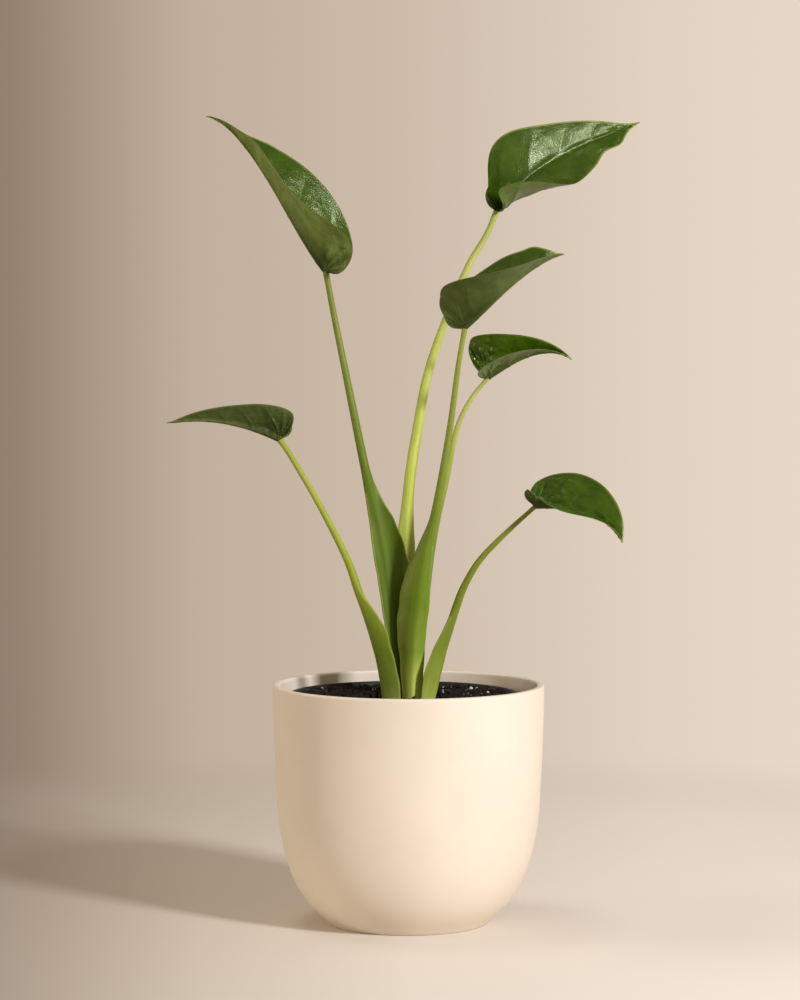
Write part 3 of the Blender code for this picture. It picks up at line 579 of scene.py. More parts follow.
def build_blade(name, leaf, materials, seed):
    leaf = dict(leaf, name=name)
    rib = midrib(leaf)
    rows, columns = BLADE_ROWS, BLADE_COLUMNS
    grids = [blade_grid(leaf, side, rib) for side in (0, 1)]
    reliefs = [blade_relief(leaf, side, grids[side], seed) for side in (0, 1)]
    wide = 2 * columns + 1

    def join(left, right):
        """One table across both halves, from the left margin to the right."""
        return np.concatenate([left[:, :0:-1], right], axis=1)

    mid = join(grids[0][0], grids[1][0])
    x = join(grids[0][1], grids[1][1])
    y = join(grids[0][2], grids[1][2])
    v = join(grids[0][3], grids[1][3])
    height = join(reliefs[0][0], reliefs[1][0])
    height[:, columns] = 0.5 * (reliefs[0][0][:, 0] + reliefs[1][0][:, 0])
    vein = join(reliefs[0][1], reliefs[1][1])
    from_x = grids[0][4]

    # points that fall together at the petiole and at the tip are one point
    same = np.arange(rows * wide).reshape(rows, wide)
    same[0, :] = columns
    same[from_x <= 0, columns] = columns
    same[-1, :] = same[-1, columns]
    index = same.ravel()
    flat = mid.reshape(-1, 3)
    quads = np.stack([same[:-1, :-1], same[1:, :-1], same[1:, 1:], same[:-1, 1:]], -1).reshape(-1, 4)
    a, b, c, d = (flat[quads[:, k]] for k in range(4))
    area = np.cross(c - a, d - b)
    normal = np.zeros_like(flat)
    for k in range(4):
        np.add.at(normal, quads[:, k], area)
    normal = unit(normal)[index]
    if (normal.reshape(rows, wide, 3)[rows // 2, columns] @ rib[4][len(rib[4]) // 2]) < 0:
        normal = -normal
    flip = (unit(area.sum(0)) @ normal.mean(0)) < 0

    y_flat, v_flat, x_flat = y.ravel(), v.ravel(), x.ravel()
    margin = 1.0 - 0.72 * smooth(0.90, 1.0, v_flat)
    half = BLADE_HALF * margin
    # the raised midrib and side veins underneath
    share = np.clip(x_flat / leaf["length"], 0.0, 1.0)
    stalk = leaf["radius"][-1][1]
    rib_mm = (0.30 + 0.85 * stalk * (1.0 - share) ** 1.1) * smooth(1.0, 0.93, share)
    rib_w = 0.55 + 0.85 * stalk * (1.0 - share)
    ridge = rib_mm * np.exp(-(y_flat / rib_w) ** 2 * 1.3)
    vein_mm = 0.20 * vein.ravel() * (1.0 - 0.5 * v_flat)
    under = (ridge + vein_mm) / 1000.0
    top = flat + normal * (height.ravel() + half)[:, None]
    low = flat + normal * (height.ravel() - half - under)[:, None]
    edge = np.zeros((rows, wide), bool)
    edge[:, 0] = edge[:, -1] = True
    away = unit(mid - np.concatenate([mid[:, 1:2], mid[:, :-1]], axis=1))
    away_l = unit(mid[:, 0] - mid[:, 1])
    away_r = unit(mid[:, -1] - mid[:, -2])
    rim_l = mid[:, 0] + away_l * 0.00006 + normal.reshape(rows, wide, 3)[:, 0] * height[:, :1]
    rim_r = mid[:, -1] + away_r * 0.00006 + normal.reshape(rows, wide, 3)[:, -1] * height[:, -1:]
    for rim in (rim_l, rim_r):
        rim[0] = flat[columns]
        rim[-1] = flat[index[-1]]

    total = rows * wide
    verts = np.vstack([top, low, rim_l, rim_r])
    at_l, at_r = 2 * total, 2 * total + rows
    faces, slots, maps = [], [], []

    def add(quad, slot, uv):
        seen, keep = set(), []
        for n, q in enumerate(quad):
            if q not in seen:
                seen.add(q)
                keep.append(n)
        if len(keep) > 2:
            faces.append(tuple(int(quad[n]) for n in keep))
            maps.extend(uv[n] for n in keep)
            slots.append(slot)

    step = np.linspace(0.0, 1.0, rows)
    size = np.linspace(0.0, 1.0, wide)
    for sheet, (base, u0) in enumerate(((0, 0.01), (total, 0.505))):
        turned = flip if sheet == 0 else not flip
        for i in range(rows - 1):
            for j in range(wide - 1):
                cells = ((i, j), (i + 1, j), (i + 1, j + 1), (i, j + 1))
                if turned:
                    cells = cells[::-1]
                add([base + same[c] for c in cells], sheet,
                    [(u0 + 0.45 * size[cj], 0.01 + 0.98 * step[ci]) for ci, cj in cells])
    strips = ((at_l, 0, same[:, 0], 0.96), (at_r, 1, same[:, -1], 0.98))
    for at, right, line, u0 in strips:
        for i in range(rows - 1):
            rim = (at + i, at + i + 1)
            if i == 0:
                rim = (2 * total, rim[1])
            if i == rows - 2:
                rim = (rim[0], 2 * total + rows - 1)
            for part, (one, two, slot) in enumerate(((0, None, 0), (total, None, 1))):
                quad = [one + line[i], one + line[i + 1], rim[1], rim[0]]
                uv = [(u0, 0.01 + 0.98 * step[i]), (u0, 0.01 + 0.98 * step[i + 1]),
                      (u0 + 0.006, 0.01 + 0.98 * step[i + 1]), (u0 + 0.006, 0.01 + 0.98 * step[i])]
                uv = [(a + 0.008 * part, b) for a, b in uv]
                if (part == 1) ^ (right == 1) ^ bool(flip):
                    quad, uv = quad[::-1], uv[::-1]
                add(quad, slot, uv)

    used = np.unique(np.concatenate([np.array(f) for f in faces]))
    place = np.full(len(verts), -1)
    place[used] = np.arange(len(used))
    faces = [tuple(int(place[q]) for q in f) for f in faces]
    obj = make_object("blade_" + name, verts[used], faces, materials, slots)

    def spread(values, rim_value):
        values = np.asarray(values, float).ravel()
        return np.concatenate([values, values, rim_value, rim_value])[used]

    edge_y = np.abs(np.concatenate([np.repeat(y[:, :1], columns, 1),
                                    np.repeat(y[:, -1:], columns + 1, 1)], axis=1))
    to_edge = edge_y - y
    add_float(obj, "vein", spread(vein, np.zeros(rows)))
    add_float(obj, "edge_mm", spread(to_edge, np.zeros(rows)))
    add_float(obj, "rib_mm", spread(y, np.full(rows, 30.0)))
    add_float(obj, "along", spread(x / leaf["length"], step))
    sign = np.where(np.arange(wide) < columns, 1.0, -1.0)[None, :]
    t_mm = step[:, None] * np.ones((1, wide)) * leaf["length"] * 1.3
    flat_place = np.stack([x, y * sign, np.full_like(x, 61.0 * seed)], -1).reshape(-1, 3)
    row_place = np.stack([t_mm, y * sign, np.full_like(x, 83.0 * seed)], -1).reshape(-1, 3)
    ends_l = np.stack([x[:, 0], y[:, 0], np.full(rows, 61.0 * seed)], -1)
    ends_r = np.stack([x[:, -1], -y[:, -1], np.full(rows, 61.0 * seed)], -1)
    add_vector(obj, "flat", np.vstack([flat_place, flat_place, ends_l, ends_r])[used])
    add_vector(obj, "grain", np.vstack([row_place, row_place, ends_l, ends_r])[used])
    layer = obj.data.uv_layers.new(name="OFBake")
    layer.data.foreach_set("uv", np.asarray(maps, np.float32).ravel())
    return obj


# -------------------------------------------------------------------- the pots
def revolve(name, profile, steps, material, centre_x=0.0, wobble=0.0, seed=0.0, smooth_angle=40.0):
    """Turns (radius, height) points, which start and end on the axis, into a
    closed solid with a bake map of its own."""
    prof = np.asarray(profile, float)
    n = len(prof)
    angle = np.linspace(0.0, 2 * math.pi, steps, endpoint=False)
    ring = np.stack([np.cos(angle), np.sin(angle)], -1)
    verts, rows = [], []
    for i, (r, z) in enumerate(prof):
        if r < 1e-9:
            rows.append([len(verts)] * steps)
            verts.append((centre_x, 0.0, z))
            continue
        start = len(verts)
        for k in range(steps):
            c, s = ring[k]
            push = 0.0
            if wobble:
                push = wobble * (0.6 * math.sin(2 * angle[k] + 9.0 * z + seed)
                                 + 0.4 * math.sin(3 * angle[k] - 31.0 * z + 2 * seed)
                                 + 0.25 * math.sin(5 * angle[k] + 70.0 * z))
            verts.append((centre_x + (r + push) * c, (r + push) * s, z))
        rows.append(list(range(start, start + steps)))
    step = np.r_[0.0, np.cumsum(np.linalg.norm(np.diff(prof, axis=0), axis=1))]
    step /= step[-1]
    faces, maps = [], []
    for i in range(n - 1):
        for k in range(steps):
            j = (k + 1) % steps
            quad = [rows[i][k], rows[i + 1][k], rows[i + 1][j], rows[i][j]]
            uv = [(k, i), (k, i + 1), (k + 1, i + 1), (k + 1, i)]
            seen, keep = set(), []
            for m, q in enumerate(quad):
                if q not in seen:
                    seen.add(q)
                    keep.append(m)
            if len(keep) > 2:
                faces.append(tuple(quad[m] for m in keep))
                maps.extend((0.005 + 0.99 * uv[m][0] / steps, 0.005 + 0.99 * step[uv[m][1]]) for m in keep)
    obj = make_object(name, verts, faces, [material], smooth_angle=smooth_angle)
    layer = obj.data.uv_layers.new(name="OFBake")
    layer.data.foreach_set("uv", np.asarray(maps, np.float32).ravel())
    return obj


def pot_side(offset, z_top, z_low):
    """The cover pot's outer side from the rim to the foot, moved inwards by
    offset along its own normal."""
    drop = POT_WAIST_Z - POT_HEIGHT
    t = np.linspace(0.0, 1.0, 60)[:-1]
    wall = np.stack([POT_RIM_R + (POT_WAIST_R - POT_RIM_R) * t ** 1.7,
                     POT_HEIGHT + drop * t], -1)
    slope = (POT_RIM_R - POT_WAIST_R) * 1.7 / -drop
    turn = bezier((POT_WAIST_R, POT_WAIST_Z),
                  (POT_WAIST_R - slope * 0.0524, POT_WAIST_Z - 0.0524),
                  (POT_FOOT_R + 0.0060, 0.0080),
                  (POT_FOOT_R, 0.0), 90)
    side = np.vstack([wall, turn])
    along = unit(np.gradient(side, axis=0))
    inward = np.stack([along[:, 1], -along[:, 0]], -1)
    side = side + offset * inward
    keep = (side[:, 1] <= z_top + 1e-9) & (side[:, 1] >= z_low - 1e-9)
    return side[keep]


def build_cover_pot(material):
    outer = pot_side(0.0, POT_HEIGHT - 0.0016, 0.0012)
    inner = pot_side(POT_WALL, POT_HEIGHT - 0.0016, POT_FLOOR + 0.0060)
    floor_r = inner[-1][0]
    mid = 0.5 * (outer[0] + inner[0])
    half = 0.5 * (outer[0][0] - inner[0][0])
    # a flat-topped lip with rounded edges, softer outside
    lip = []
    for a in np.linspace(0.0, math.pi, 25)[1:-1]:
        c, s = math.cos(a), math.sin(a)
        lip.append((mid[0] - half * math.copysign(abs(c) ** 0.62, c),
                    POT_HEIGHT - 0.0016 + 0.0016 * s ** 0.72))
    corner = bezier(inner[-1], inner[-1] + (inner[-1] - inner[-2]) * 6,
                    (floor_r - 0.0045, POT_FLOOR), (floor_r - 0.0085, POT_FLOOR), 14)[1:]
    foot = [(POT_FOOT_R + 0.00045, 0.0009), (POT_FOOT_R + 0.0001, 0.0004), (POT_FOOT_R - 0.0004, 0.0001),
            (POT_FOOT_R - 0.0010, 0.0)]
    low = [(r, 0.0) for r in (0.0388, 0.0384)]
    groove = [(0.0380, 0.0004), (0.0374, 0.0007), (0.0300, 0.0008), (0.0150, 0.0008)]
    profile = ([(0.0, POT_FLOOR), (0.012, POT_FLOOR), (0.024, POT_FLOOR)] + [tuple(p) for p in corner[::-1]]
               + [tuple(p) for p in inner[::-1]] + lip + [tuple(p) for p in outer]
               + foot + low + groove + [(0.0, 0.0008)])
    return revolve("cover_pot_body", profile, 256, material, wobble=0.00010, seed=0.8)


def liner_radius(z, top_r, base_r):
    return base_r + (top_r - base_r) * (z - LINER_BASE_Z) / (LINER_TOP_Z - LINER_BASE_Z)


def build_liner(material):
    w, zt, zb = LINER_WALL, LINER_TOP_Z, LINER_BASE_Z
    rim_under = zt - LINER_RIM_DROP
    r_at = lambda z: liner_radius(z, LINER_TOP_R, LINER_BASE_R)
    inside = [(r_at(z) - w, z) for z in np.linspace(zb + w + 0.003, zt - 0.0004, 30)]
    outside = [(r_at(z), z) for z in np.linspace(rim_under - 0.0004, zb + 0.003, 30)]
    profile = ([(0.0, zb + w), (0.020, zb + w), (LINER_BASE_R - w - 0.0030, zb + w),
                (LINER_BASE_R - w - 0.0006, zb + w + 0.0009)] + inside
               + [(LINER_TOP_R - w + 0.00015, zt - 0.0001), (LINER_TOP_R - w + 0.0005, zt),
                  (LINER_RIM_R - 0.0007, zt), (LINER_RIM_R - 0.0002, zt - 0.0002), (LINER_RIM_R, zt - 0.0007),
                  (LINER_RIM_R - 0.0001, zt - 0.003), (LINER_RIM_R - 0.0003, rim_under + 0.0002),
                  (LINER_RIM_R - 0.0006, rim_under), (LINER_RIM_R - 0.0012, rim_under)]
               + outside + [(LINER_BASE_R - 0.0006, zb + 0.0008), (LINER_BASE_R - 0.0030, zb),
                            (0.020, zb), (0.0, zb)])
    return revolve("nursery_pot_body", profile, 160, material, LINER_X, wobble=0.00012, seed=2.3)


# -------------------------------------------------------------------- the soil
def soil_height(x, y):
    """Low, uneven heaps, as in the part."""
    return (0.0006 * math.sin(190 * x + 1.3) * math.cos(160 * y)
            + 0.0004 * math.sin(410 * x - 260 * y + 0.7)
            + 0.0003 * math.cos(520 * y + 330 * x))


def soil_top(x, y):
    """The visible surface of the mix, without its loose pieces."""
    p = Vector((x, y, 0.0))
    crumb = noise.fractal(p * 420.0, 0.8, 2.1, 3)
    lump = noise.fractal(p * 130.0 + Vector((3.1, 7.7, 0.0)), 0.9, 2.0, 2)
    d = noise.voronoi(p * 330.0)[0]
    pebble = (d[1] - d[0])
    edge = min(max((math.hypot(x - LINER_X, y) - 0.050) / 0.006, 0.0), 1.0)
    # the mix has sunk a little round the crown, most of all in front of it
    sunk = 0.0022 * math.exp(-((x - 0.001) / 0.021) ** 4 - ((y + 0.016) / 0.020) ** 4)
    return (SOIL_Z + soil_height(x, y) * (1 - 0.7 * edge) + 0.00045 * crumb + 0.0006 * lump
            + 0.0007 * min(pebble, 0.7) - 0.0010 * edge * edge - sunk)


def build_soil_bed(material):
    rings, steps = 120, 420
    radius = SOIL_R * np.linspace(0.0, 1.0, rings + 1)[1:] ** 0.8
    verts = [(LINER_X, 0.0, soil_top(LINER_X, 0.0))]
    for r in radius:
        for k in range(steps):
            a = 2 * math.pi * k / steps
            x, y = LINER_X + r * math.cos(a), r * math.sin(a)
            verts.append((x, y, soil_top(x, y)))
    low = len(verts)
    for k in range(steps):
        a = 2 * math.pi * k / steps
        verts.append((LINER_X + SOIL_R * math.cos(a), SOIL_R * math.sin(a), 0.1120))
    verts.append((LINER_X, 0.0, 0.1120))
    faces = []
    for k in range(steps):
        j = (k + 1) % steps
        faces.append((0, 1 + k, 1 + j))
        for i in range(rings - 1):
            a, b = 1 + i * steps, 1 + (i + 1) * steps
            faces.append((a + k, b + k, b + j, a + j))
        last = 1 + (rings - 1) * steps
        faces.append((last + k, low + k, low + j, last + j))
        faces.append((low + k, len(verts) - 1, low + j))
    return make_object("soil_bed", verts, faces, [material])


def icosphere(level):
    """Unit icosphere as (vertices, triangles)."""
    g = (1 + math.sqrt(5)) / 2
    verts = [unit(np.array(v, float)) for v in
             ((-1, g, 0), (1, g, 0), (-1, -g, 0), (1, -g, 0), (0, -1, g), (0, 1, g), (0, -1, -g), (0, 1, -g),
              (g, 0, -1), (g, 0, 1), (-g, 0, -1), (-g, 0, 1))]
    faces = [(0, 11, 5), (0, 5, 1), (0, 1, 7), (0, 7, 10), (0, 10, 11), (1, 5, 9), (5, 11, 4), (11, 10, 2),
             (10, 7, 6), (7, 1, 8), (3, 9, 4), (3, 4, 2), (3, 2, 6), (3, 6, 8), (3, 8, 9), (4, 9, 5),
             (2, 4, 11), (6, 2, 10), (8, 6, 7), (9, 8, 1)]
    for _ in range(level):
        cache, new = {}, []

        def middle(a, b):
            key = (min(a, b), max(a, b))
            if key not in cache:
                verts.append(unit((verts[a] + verts[b]) / 2))
                cache[key] = len(verts) - 1
            return cache[key]

        for a, b, c in faces:
            ab, bc, ca = middle(a, b), middle(b, c), middle(c, a)
            new += [(a, ab, ca), (b, bc, ab), (c, ca, bc), (ab, bc, ca)]
        faces = new
    return np.array(verts), np.array(faces)


def turned_about(axis, angle):
    axis = unit(np.asarray(axis, float))
    x, y, z = axis
    c, s = math.cos(angle), math.sin(angle)
    return np.array([[c + x * x * (1 - c), x * y * (1 - c) - z * s, x * z * (1 - c) + y * s],
                     [y * x * (1 - c) + z * s, c + y * y * (1 - c), y * z * (1 - c) - x * s],
                     [z * x * (1 - c) - y * s, z * y * (1 - c) + x * s, c + z * z * (1 - c)]])


def free_places(rng, count, reach, stems, clear):
    """Places on the mix that miss the stalks."""
    out = []
    while len(out) < count:
        r, a = reach * math.sqrt(rng.random()), 2 * math.pi * rng.random()
        x, y = LINER_X + r * math.cos(a), r * math.sin(a)
        if np.min(np.hypot(stems[:, 0] - x, stems[:, 1] - y)) > clear:
            out.append((x, y))
    return out


def scatter(name, seed, count, size, flatness, rough, level, sink, material, stems, reach=0.0555, places=None):
    """Many loose grains as one mesh: size is a (smallest, largest) radius."""
    rng = np.random.default_rng(seed)
    base_v, base_f = icosphere(level)
    where = places or free_places(rng, count, reach, stems, size[1] * 0.6)
    verts, faces, tint = [], [], []
    for n, (x, y) in enumerate(where):
        r = size[0] + (size[1] - size[0]) * rng.random() ** 2.2
        scale = np.array([1.0, flatness[0] + (flatness[1] - flatness[0]) * rng.random(),
                          flatness[0] + (flatness[1] - flatness[0]) * rng.random()])
        shift = rng.random(3) * 50
        push = np.array([noise.noise(Vector(v * 1.7 + shift)) + 0.5 * noise.noise(Vector(v * 3.9 + shift))
                         for v in base_v])
        shape = base_v * (1.0 + rough * push)[:, None] * scale * r
        turn = turned_about(rng.normal(size=3), rng.random() * 6.28)
        shape = shape @ turn.T
        z = soil_top(x, y) - shape[:, 2].min() - sink * r * (0.6 + 0.8 * rng.random())
        faces.append(base_f + len(base_v) * n)
        verts.append(shape + np.array([x, y, z]))
        tint.append(np.full(len(base_v), rng.random()))
    obj = make_object(name, np.vstack(verts), [tuple(int(k) for k in f) for f in np.vstack(faces)], [material],
                      smooth_angle=50.0)
    add_float(obj, "tint", np.concatenate(tint))
    return obj


def build_fibres(name, seed, count, material, stems, upright=()):
    """Root and bark fibres that lie on the mix, and a few that stand up."""
    rng = np.random.default_rng(seed)
    verts, faces, tint = [], [], []
    around = 7

    def tube(line, radius):
        base = sum(len(v) for v in verts)
        along = unit(np.gradient(line, axis=0))
        side = unit(np.cross(along, [0.31, 0.52, 0.79]))
        up = np.cross(along, side)
        taper = np.sin(np.linspace(0.25, math.pi - 0.12, len(line))) ** 0.6
        angle = np.linspace(0, 2 * math.pi, around, endpoint=False)
        rings = [p + radius * s * (np.cos(angle)[:, None] * a + np.sin(angle)[:, None] * b)
                 for p, a, b, s in zip(line, side, up, taper)]
        verts.append(np.vstack(rings))
        for i in range(len(line) - 1):
            for j in range(around):
                k = (j + 1) % around
                faces.append((base + i * around + j, base + i * around + k,
                              base + (i + 1) * around + k, base + (i + 1) * around + j))
        faces.append(tuple(base + j for j in range(around))[::-1])
        faces.append(tuple(base + (len(line) - 1) * around + j for j in range(around)))
        tint.append(np.full(around * len(line), rng.random()))

    for x, y in free_places(rng, count, 0.054, stems, 0.001):
        length, turn = 0.003 + 0.010 * rng.random(), 6.28 * rng.random()
        bend, lift = rng.normal() * 1.2, 0.0004 + 0.0012 * rng.random()
        q = np.linspace(0, 1, 14)
        head = turn + bend * q
        step = length / 13
        px = x + np.cumsum(np.cos(head)) * step
        py = y + np.cumsum(np.sin(head)) * step
        inside = np.hypot(px - LINER_X, py) < 0.0562
        if not inside.all():
            continue
        pz = np.array([soil_top(a, b) for a, b in zip(px, py)]).mean() + lift * np.sin(math.pi * q) + 0.0003
        tube(np.stack([px, py, pz], -1), 0.00010 + 0.00016 * rng.random())
    for x, y, height, lean_x, lean_y, radius in upright:
        q = np.linspace(0, 1, 16)
        curve = np.sin(q * 2.4) * 0.25
        z0 = soil_top(x, y) - 0.001
        tube(np.stack([x + lean_x * (q + curve), y + lean_y * q, z0 + (height + 0.001) * q], -1), radius)
    obj = make_object(name, np.vstack(verts), faces, [material])
    add_float(obj, "tint", np.concatenate(tint))
    return obj


# ------------------------------------------------------------- the materials
def ceramic():
    g = Graph("cream_ceramic")
    p = g.place()
    cloud = g.noise(p, 22.0, 3.0)
    speck = g.cells(p, 900.0)
    colour = g.mix(g.span(cloud, 0.35, 0.65, 0.0, 1.0), (0.762, 0.664, 0.545), (0.797, 0.696, 0.574))
    colour = g.mix(g.span(speck, 0.0, 0.16, 0.10, 0.0), colour, (0.52, 0.42, 0.31))
    grain = g.noise(p, 2600.0, 2.0, 0.6)
    skin = g.noise(p, 300.0, 3.0, 0.5)
    n = g.bump(skin, 0.00005, 0.5)
    n = g.bump(grain, 0.00002, 0.5, n)
    return g.set(Base_Color=colour, Roughness=g.span(skin, 0.3, 0.7, 0.56, 0.68), Normal=n,
                 Specular_IOR_Level=0.30)


def plastic():
    g = Graph("black_plastic")
    p = g.place()
    dust = g.noise(p, 240.0, 4.0, 0.65)
    colour = g.mix(g.span(dust, 0.52, 0.72, 0.0, 0.5), (0.020, 0.019, 0.018), (0.055, 0.042, 0.030))
    n = g.bump(g.noise(p, 1800.0, 2.0), 0.00003, 0.5)
    return g.set(Base_Color=colour, Roughness=g.span(dust, 0.4, 0.7, 0.50, 0.80), Normal=n,
                 Specular_IOR_Level=0.18)


def earth(name, dark, light, rough=0.95, contrast=1.0):
    g = Graph(name)
    p = g.place()
    big = g.noise(p, 260.0, 4.0, 0.6)
    small = g.noise(p, 1700.0, 3.0, 0.65)
    colour = g.mix(g.span(big, 0.38, 0.64), dark, light)
    colour = g.mix(g.span(small, 0.3, 0.75, 0.0, 0.65 * contrast), colour, tuple(0.35 * c for c in dark))
    n = g.bump(small, 0.00025, 0.8)
    n = g.bump(g.noise(p, 5200.0, 2.0), 0.00006, 0.6, n)
    return g.set(Base_Color=colour, Roughness=rough, Normal=n, Specular_IOR_Level=0.25)


def grains(name, dark, light, rough=0.9):
    g = Graph(name)
    p = g.place()
    tint = g.attribute("tint")
    small = g.noise(p, 2300.0, 3.0, 0.65)
    colour = g.mix(tint, dark, light)
    colour = g.mix(g.span(small, 0.4, 0.8, 0.0, 0.6), colour, tuple(0.4 * c for c in dark))
    n = g.bump(small, 0.00020, 0.8)
    return g.set(Base_Color=colour, Roughness=rough, Normal=n, Specular_IOR_Level=0.3)


def perlite():
    g = Graph("perlite_white")
    p = g.place()
    tint = g.attribute("tint")
    pits = g.cells(p, 2400.0)
    colour = g.mix(tint, (0.50, 0.46, 0.40), (0.80, 0.78, 0.74))
    colour = g.mix(g.span(pits, 0.0, 0.35, 0.5, 0.0), colour, (0.24, 0.20, 0.16))
    n = g.bump(pits, 0.00016, 0.7)
    return g.set(Base_Color=colour, Roughness=0.85, Normal=n)


def stalk_green(name, stops, low, high):
    """A stalk's green by height: stops are (millimetres, colour)."""
    g = Graph(name)
    height = g.attribute("height_mm")
    flat = g.attribute("flat", "Vector")
    edge = g.attribute("edge_mm")
    base = g.ramp(g.span(height, low, high), [((z - low) / (high - low), c) for z, c in stops])
    streak = g.noise(g.scaled(flat, (1.5, 0.022, 1.0)), 1.0, 3.0, 0.55)
    fine = g.noise(g.scaled(flat, (4.5, 0.05, 1.0)), 1.0, 2.0, 0.6)
    blotch = g.noise(g.scaled(flat, (0.25, 0.06, 1.0)), 1.0, 3.0, 0.55)
    dots = g.noise(g.scaled(flat, (2.6, 1.3, 1.0)), 1.0, 3.0, 0.6)
    colour = g.mix(g.span(streak, 0.36, 0.64, 0.0, 0.34), base, (0.66, 0.78, 0.45), "MULTIPLY")
    colour = g.mix(g.span(fine, 0.40, 0.62, 0.0, 0.14), colour, (0.60, 0.70, 0.45), "MULTIPLY")
    colour = g.mix(g.span(blotch, 0.38, 0.62, 0.0, 0.30), colour, (0.58, 0.74, 0.40), "MULTIPLY")
    colour = g.mix(g.span(dots, 0.58, 0.74, 0.0, 0.10), colour, (0.62, 0.68, 0.22))
    # a wing's free edge is thin and pale
    colour = g.mix(g.span(edge, 0.10, 0.80, 0.50, 0.0), colour, (0.33, 0.38, 0.09))
    n = g.bump(streak, 0.00010, 0.5)
    n = g.bump(fine, 0.00004, 0.5, n)
    return g.set(Base_Color=colour, Roughness=g.span(streak, 0.3, 0.7, 0.40, 0.50), Normal=n,
                 Specular_IOR_Level=0.24, Specular_Tint=(1.0, 1.0, 0.45), Subsurface_Weight=0.10,
                 Subsurface_Scale=0.0015, Subsurface_Radius=(0.6, 0.8, 0.2))


def blade_upper(name, deep, fresh, gloss=0.32):
    g = Graph(name)
    flat, grain = g.attribute("flat", "Vector"), g.attribute("grain", "Vector")
    vein, edge, rib = g.attribute("vein"), g.attribute("edge_mm"), g.attribute("rib_mm")
    patch = g.noise(g.scaled(flat, (0.10, 0.10, 1.0)), 1.0, 3.0, 0.55)
    speck = g.noise(g.scaled(flat, (1.5, 1.5, 1.0)), 1.0, 3.0, 0.6)
    thread = g.noise(g.scaled(grain, (2.2, 0.16, 1.0)), 1.0, 3.0, 0.6)
    cell = g.cells(g.scaled(flat, (0.95, 0.95, 1.0)), 1.0, "DISTANCE_TO_EDGE")
    colour = g.mix(g.span(patch, 0.35, 0.65), deep, fresh)
    colour = g.mix(g.span(speck, 0.35, 0.7, 0.0, 0.25), colour, tuple(0.6 * c for c in deep))
    colour = g.mix(g.span(cell, 0.0, 0.10, 0.16, 0.0), colour, tuple(1.7 * c for c in fresh))
    colour = g.mix(g.math("MULTIPLY", vein, 0.16), colour, (0.095, 0.160, 0.016))
    colour = g.mix(g.span(rib, 0.20, 0.8, 0.08, 0.0), colour, (0.110, 0.180, 0.020))
    colour = g.mix(g.span(edge, 0.12, 0.75, 0.85, 0.0), colour, (0.220, 0.280, 0.040))
    n = g.bump(thread, 0.00020, 0.55)
    n = g.bump(g.span(cell, 0.0, 0.16), 0.00006, 0.5, n)
    n = g.bump(speck, 0.00010, 0.5, n)
    return g.set(Base_Color=colour, Roughness=g.span(speck, 0.3, 0.7, gloss - 0.03, gloss + 0.06), Normal=n,
                 Specular_IOR_Level=0.42, Specular_Tint=(0.92, 1.0, 0.62), Subsurface_Weight=0.08,
                 Subsurface_Scale=0.0008, Subsurface_Radius=(0.4, 0.7, 0.1))


def blade_under(name, deep, fresh, shade, rough=0.40):
    g = Graph(name)
    flat, grain = g.attribute("flat", "Vector"), g.attribute("grain", "Vector")
    vein, edge, rib = g.attribute("vein"), g.attribute("edge_mm"), g.attribute("rib_mm")
    patch = g.noise(g.scaled(flat, (0.12, 0.12, 1.0)), 1.0, 3.0, 0.55)
    speck = g.noise(g.scaled(flat, (1.3, 1.3, 1.0)), 1.0, 3.0, 0.6)
    thread = g.noise(g.scaled(grain, (1.9, 0.14, 1.0)), 1.0, 3.0, 0.6)
    cell = g.cells(g.scaled(flat, (1.0, 1.0, 1.0)), 1.0, "DISTANCE_TO_EDGE")
    colour = g.mix(g.span(patch, 0.35, 0.65), deep, fresh)
    colour = g.mix(g.span(speck, 0.35, 0.7, 0.0, 0.22), colour, tuple(0.65 * c for c in deep))
    colour = g.mix(g.span(cell, 0.0, 0.10, 0.14, 0.0), colour, tuple(1.4 * c for c in fresh))
    colour = g.mix(g.math("MULTIPLY", vein, 0.16), colour, tuple(1.45 * c for c in fresh))
    colour = g.mix(g.span(rib, 0.6, 3.2, 0.40, 0.0), colour, (0.075, 0.078, 0.020))
    colour = g.mix(g.span(rib, 0.5, 1.1, 0.45, 0.0), colour, (0.130, 0.145, 0.040))
    # painted shade: the hollows beside the midrib's root are darkened where shade falls in them
    along = g.attribute("along")
    root = g.math("MULTIPLY", g.span(rib, 3.0, 15.0, 0.85, 0.0), g.span(along, 0.14, 0.50, 1.0, 0.0))
    colour = g.mix(root, colour, (0.40, 0.44, 0.38), "MULTIPLY")
    mottle = g.noise(g.scaled(flat, (0.16, 0.16, 1.0)), 1.0, 2.0, 0.5)
    low_end = g.math("MULTIPLY", g.span(along, 0.06, 0.23, shade, 0.0), g.span(mottle, 0.30, 0.62, 1.0, 0.35))
    colour = g.mix(low_end, colour, (0.38, 0.40, 0.36), "MULTIPLY")
    colour = g.mix(g.span(edge, 0.12, 0.60, 0.65, 0.0), colour, (0.165, 0.190, 0.060))
    n = g.bump(thread, 0.00016, 0.5)
    n = g.bump(speck, 0.00012, 0.5, n)
    return g.set(Base_Color=colour, Roughness=g.span(speck, 0.3, 0.7, rough - 0.05, rough + 0.08), Normal=n,
                 Specular_IOR_Level=0.26, Specular_Tint=(0.95, 1.0, 0.50), Subsurface_Weight=0.08,
                 Subsurface_Scale=0.0008, Subsurface_Radius=(0.4, 0.7, 0.1))


# ------------------------------------------------------------------ the plant
SEAT_GAP = 0.35


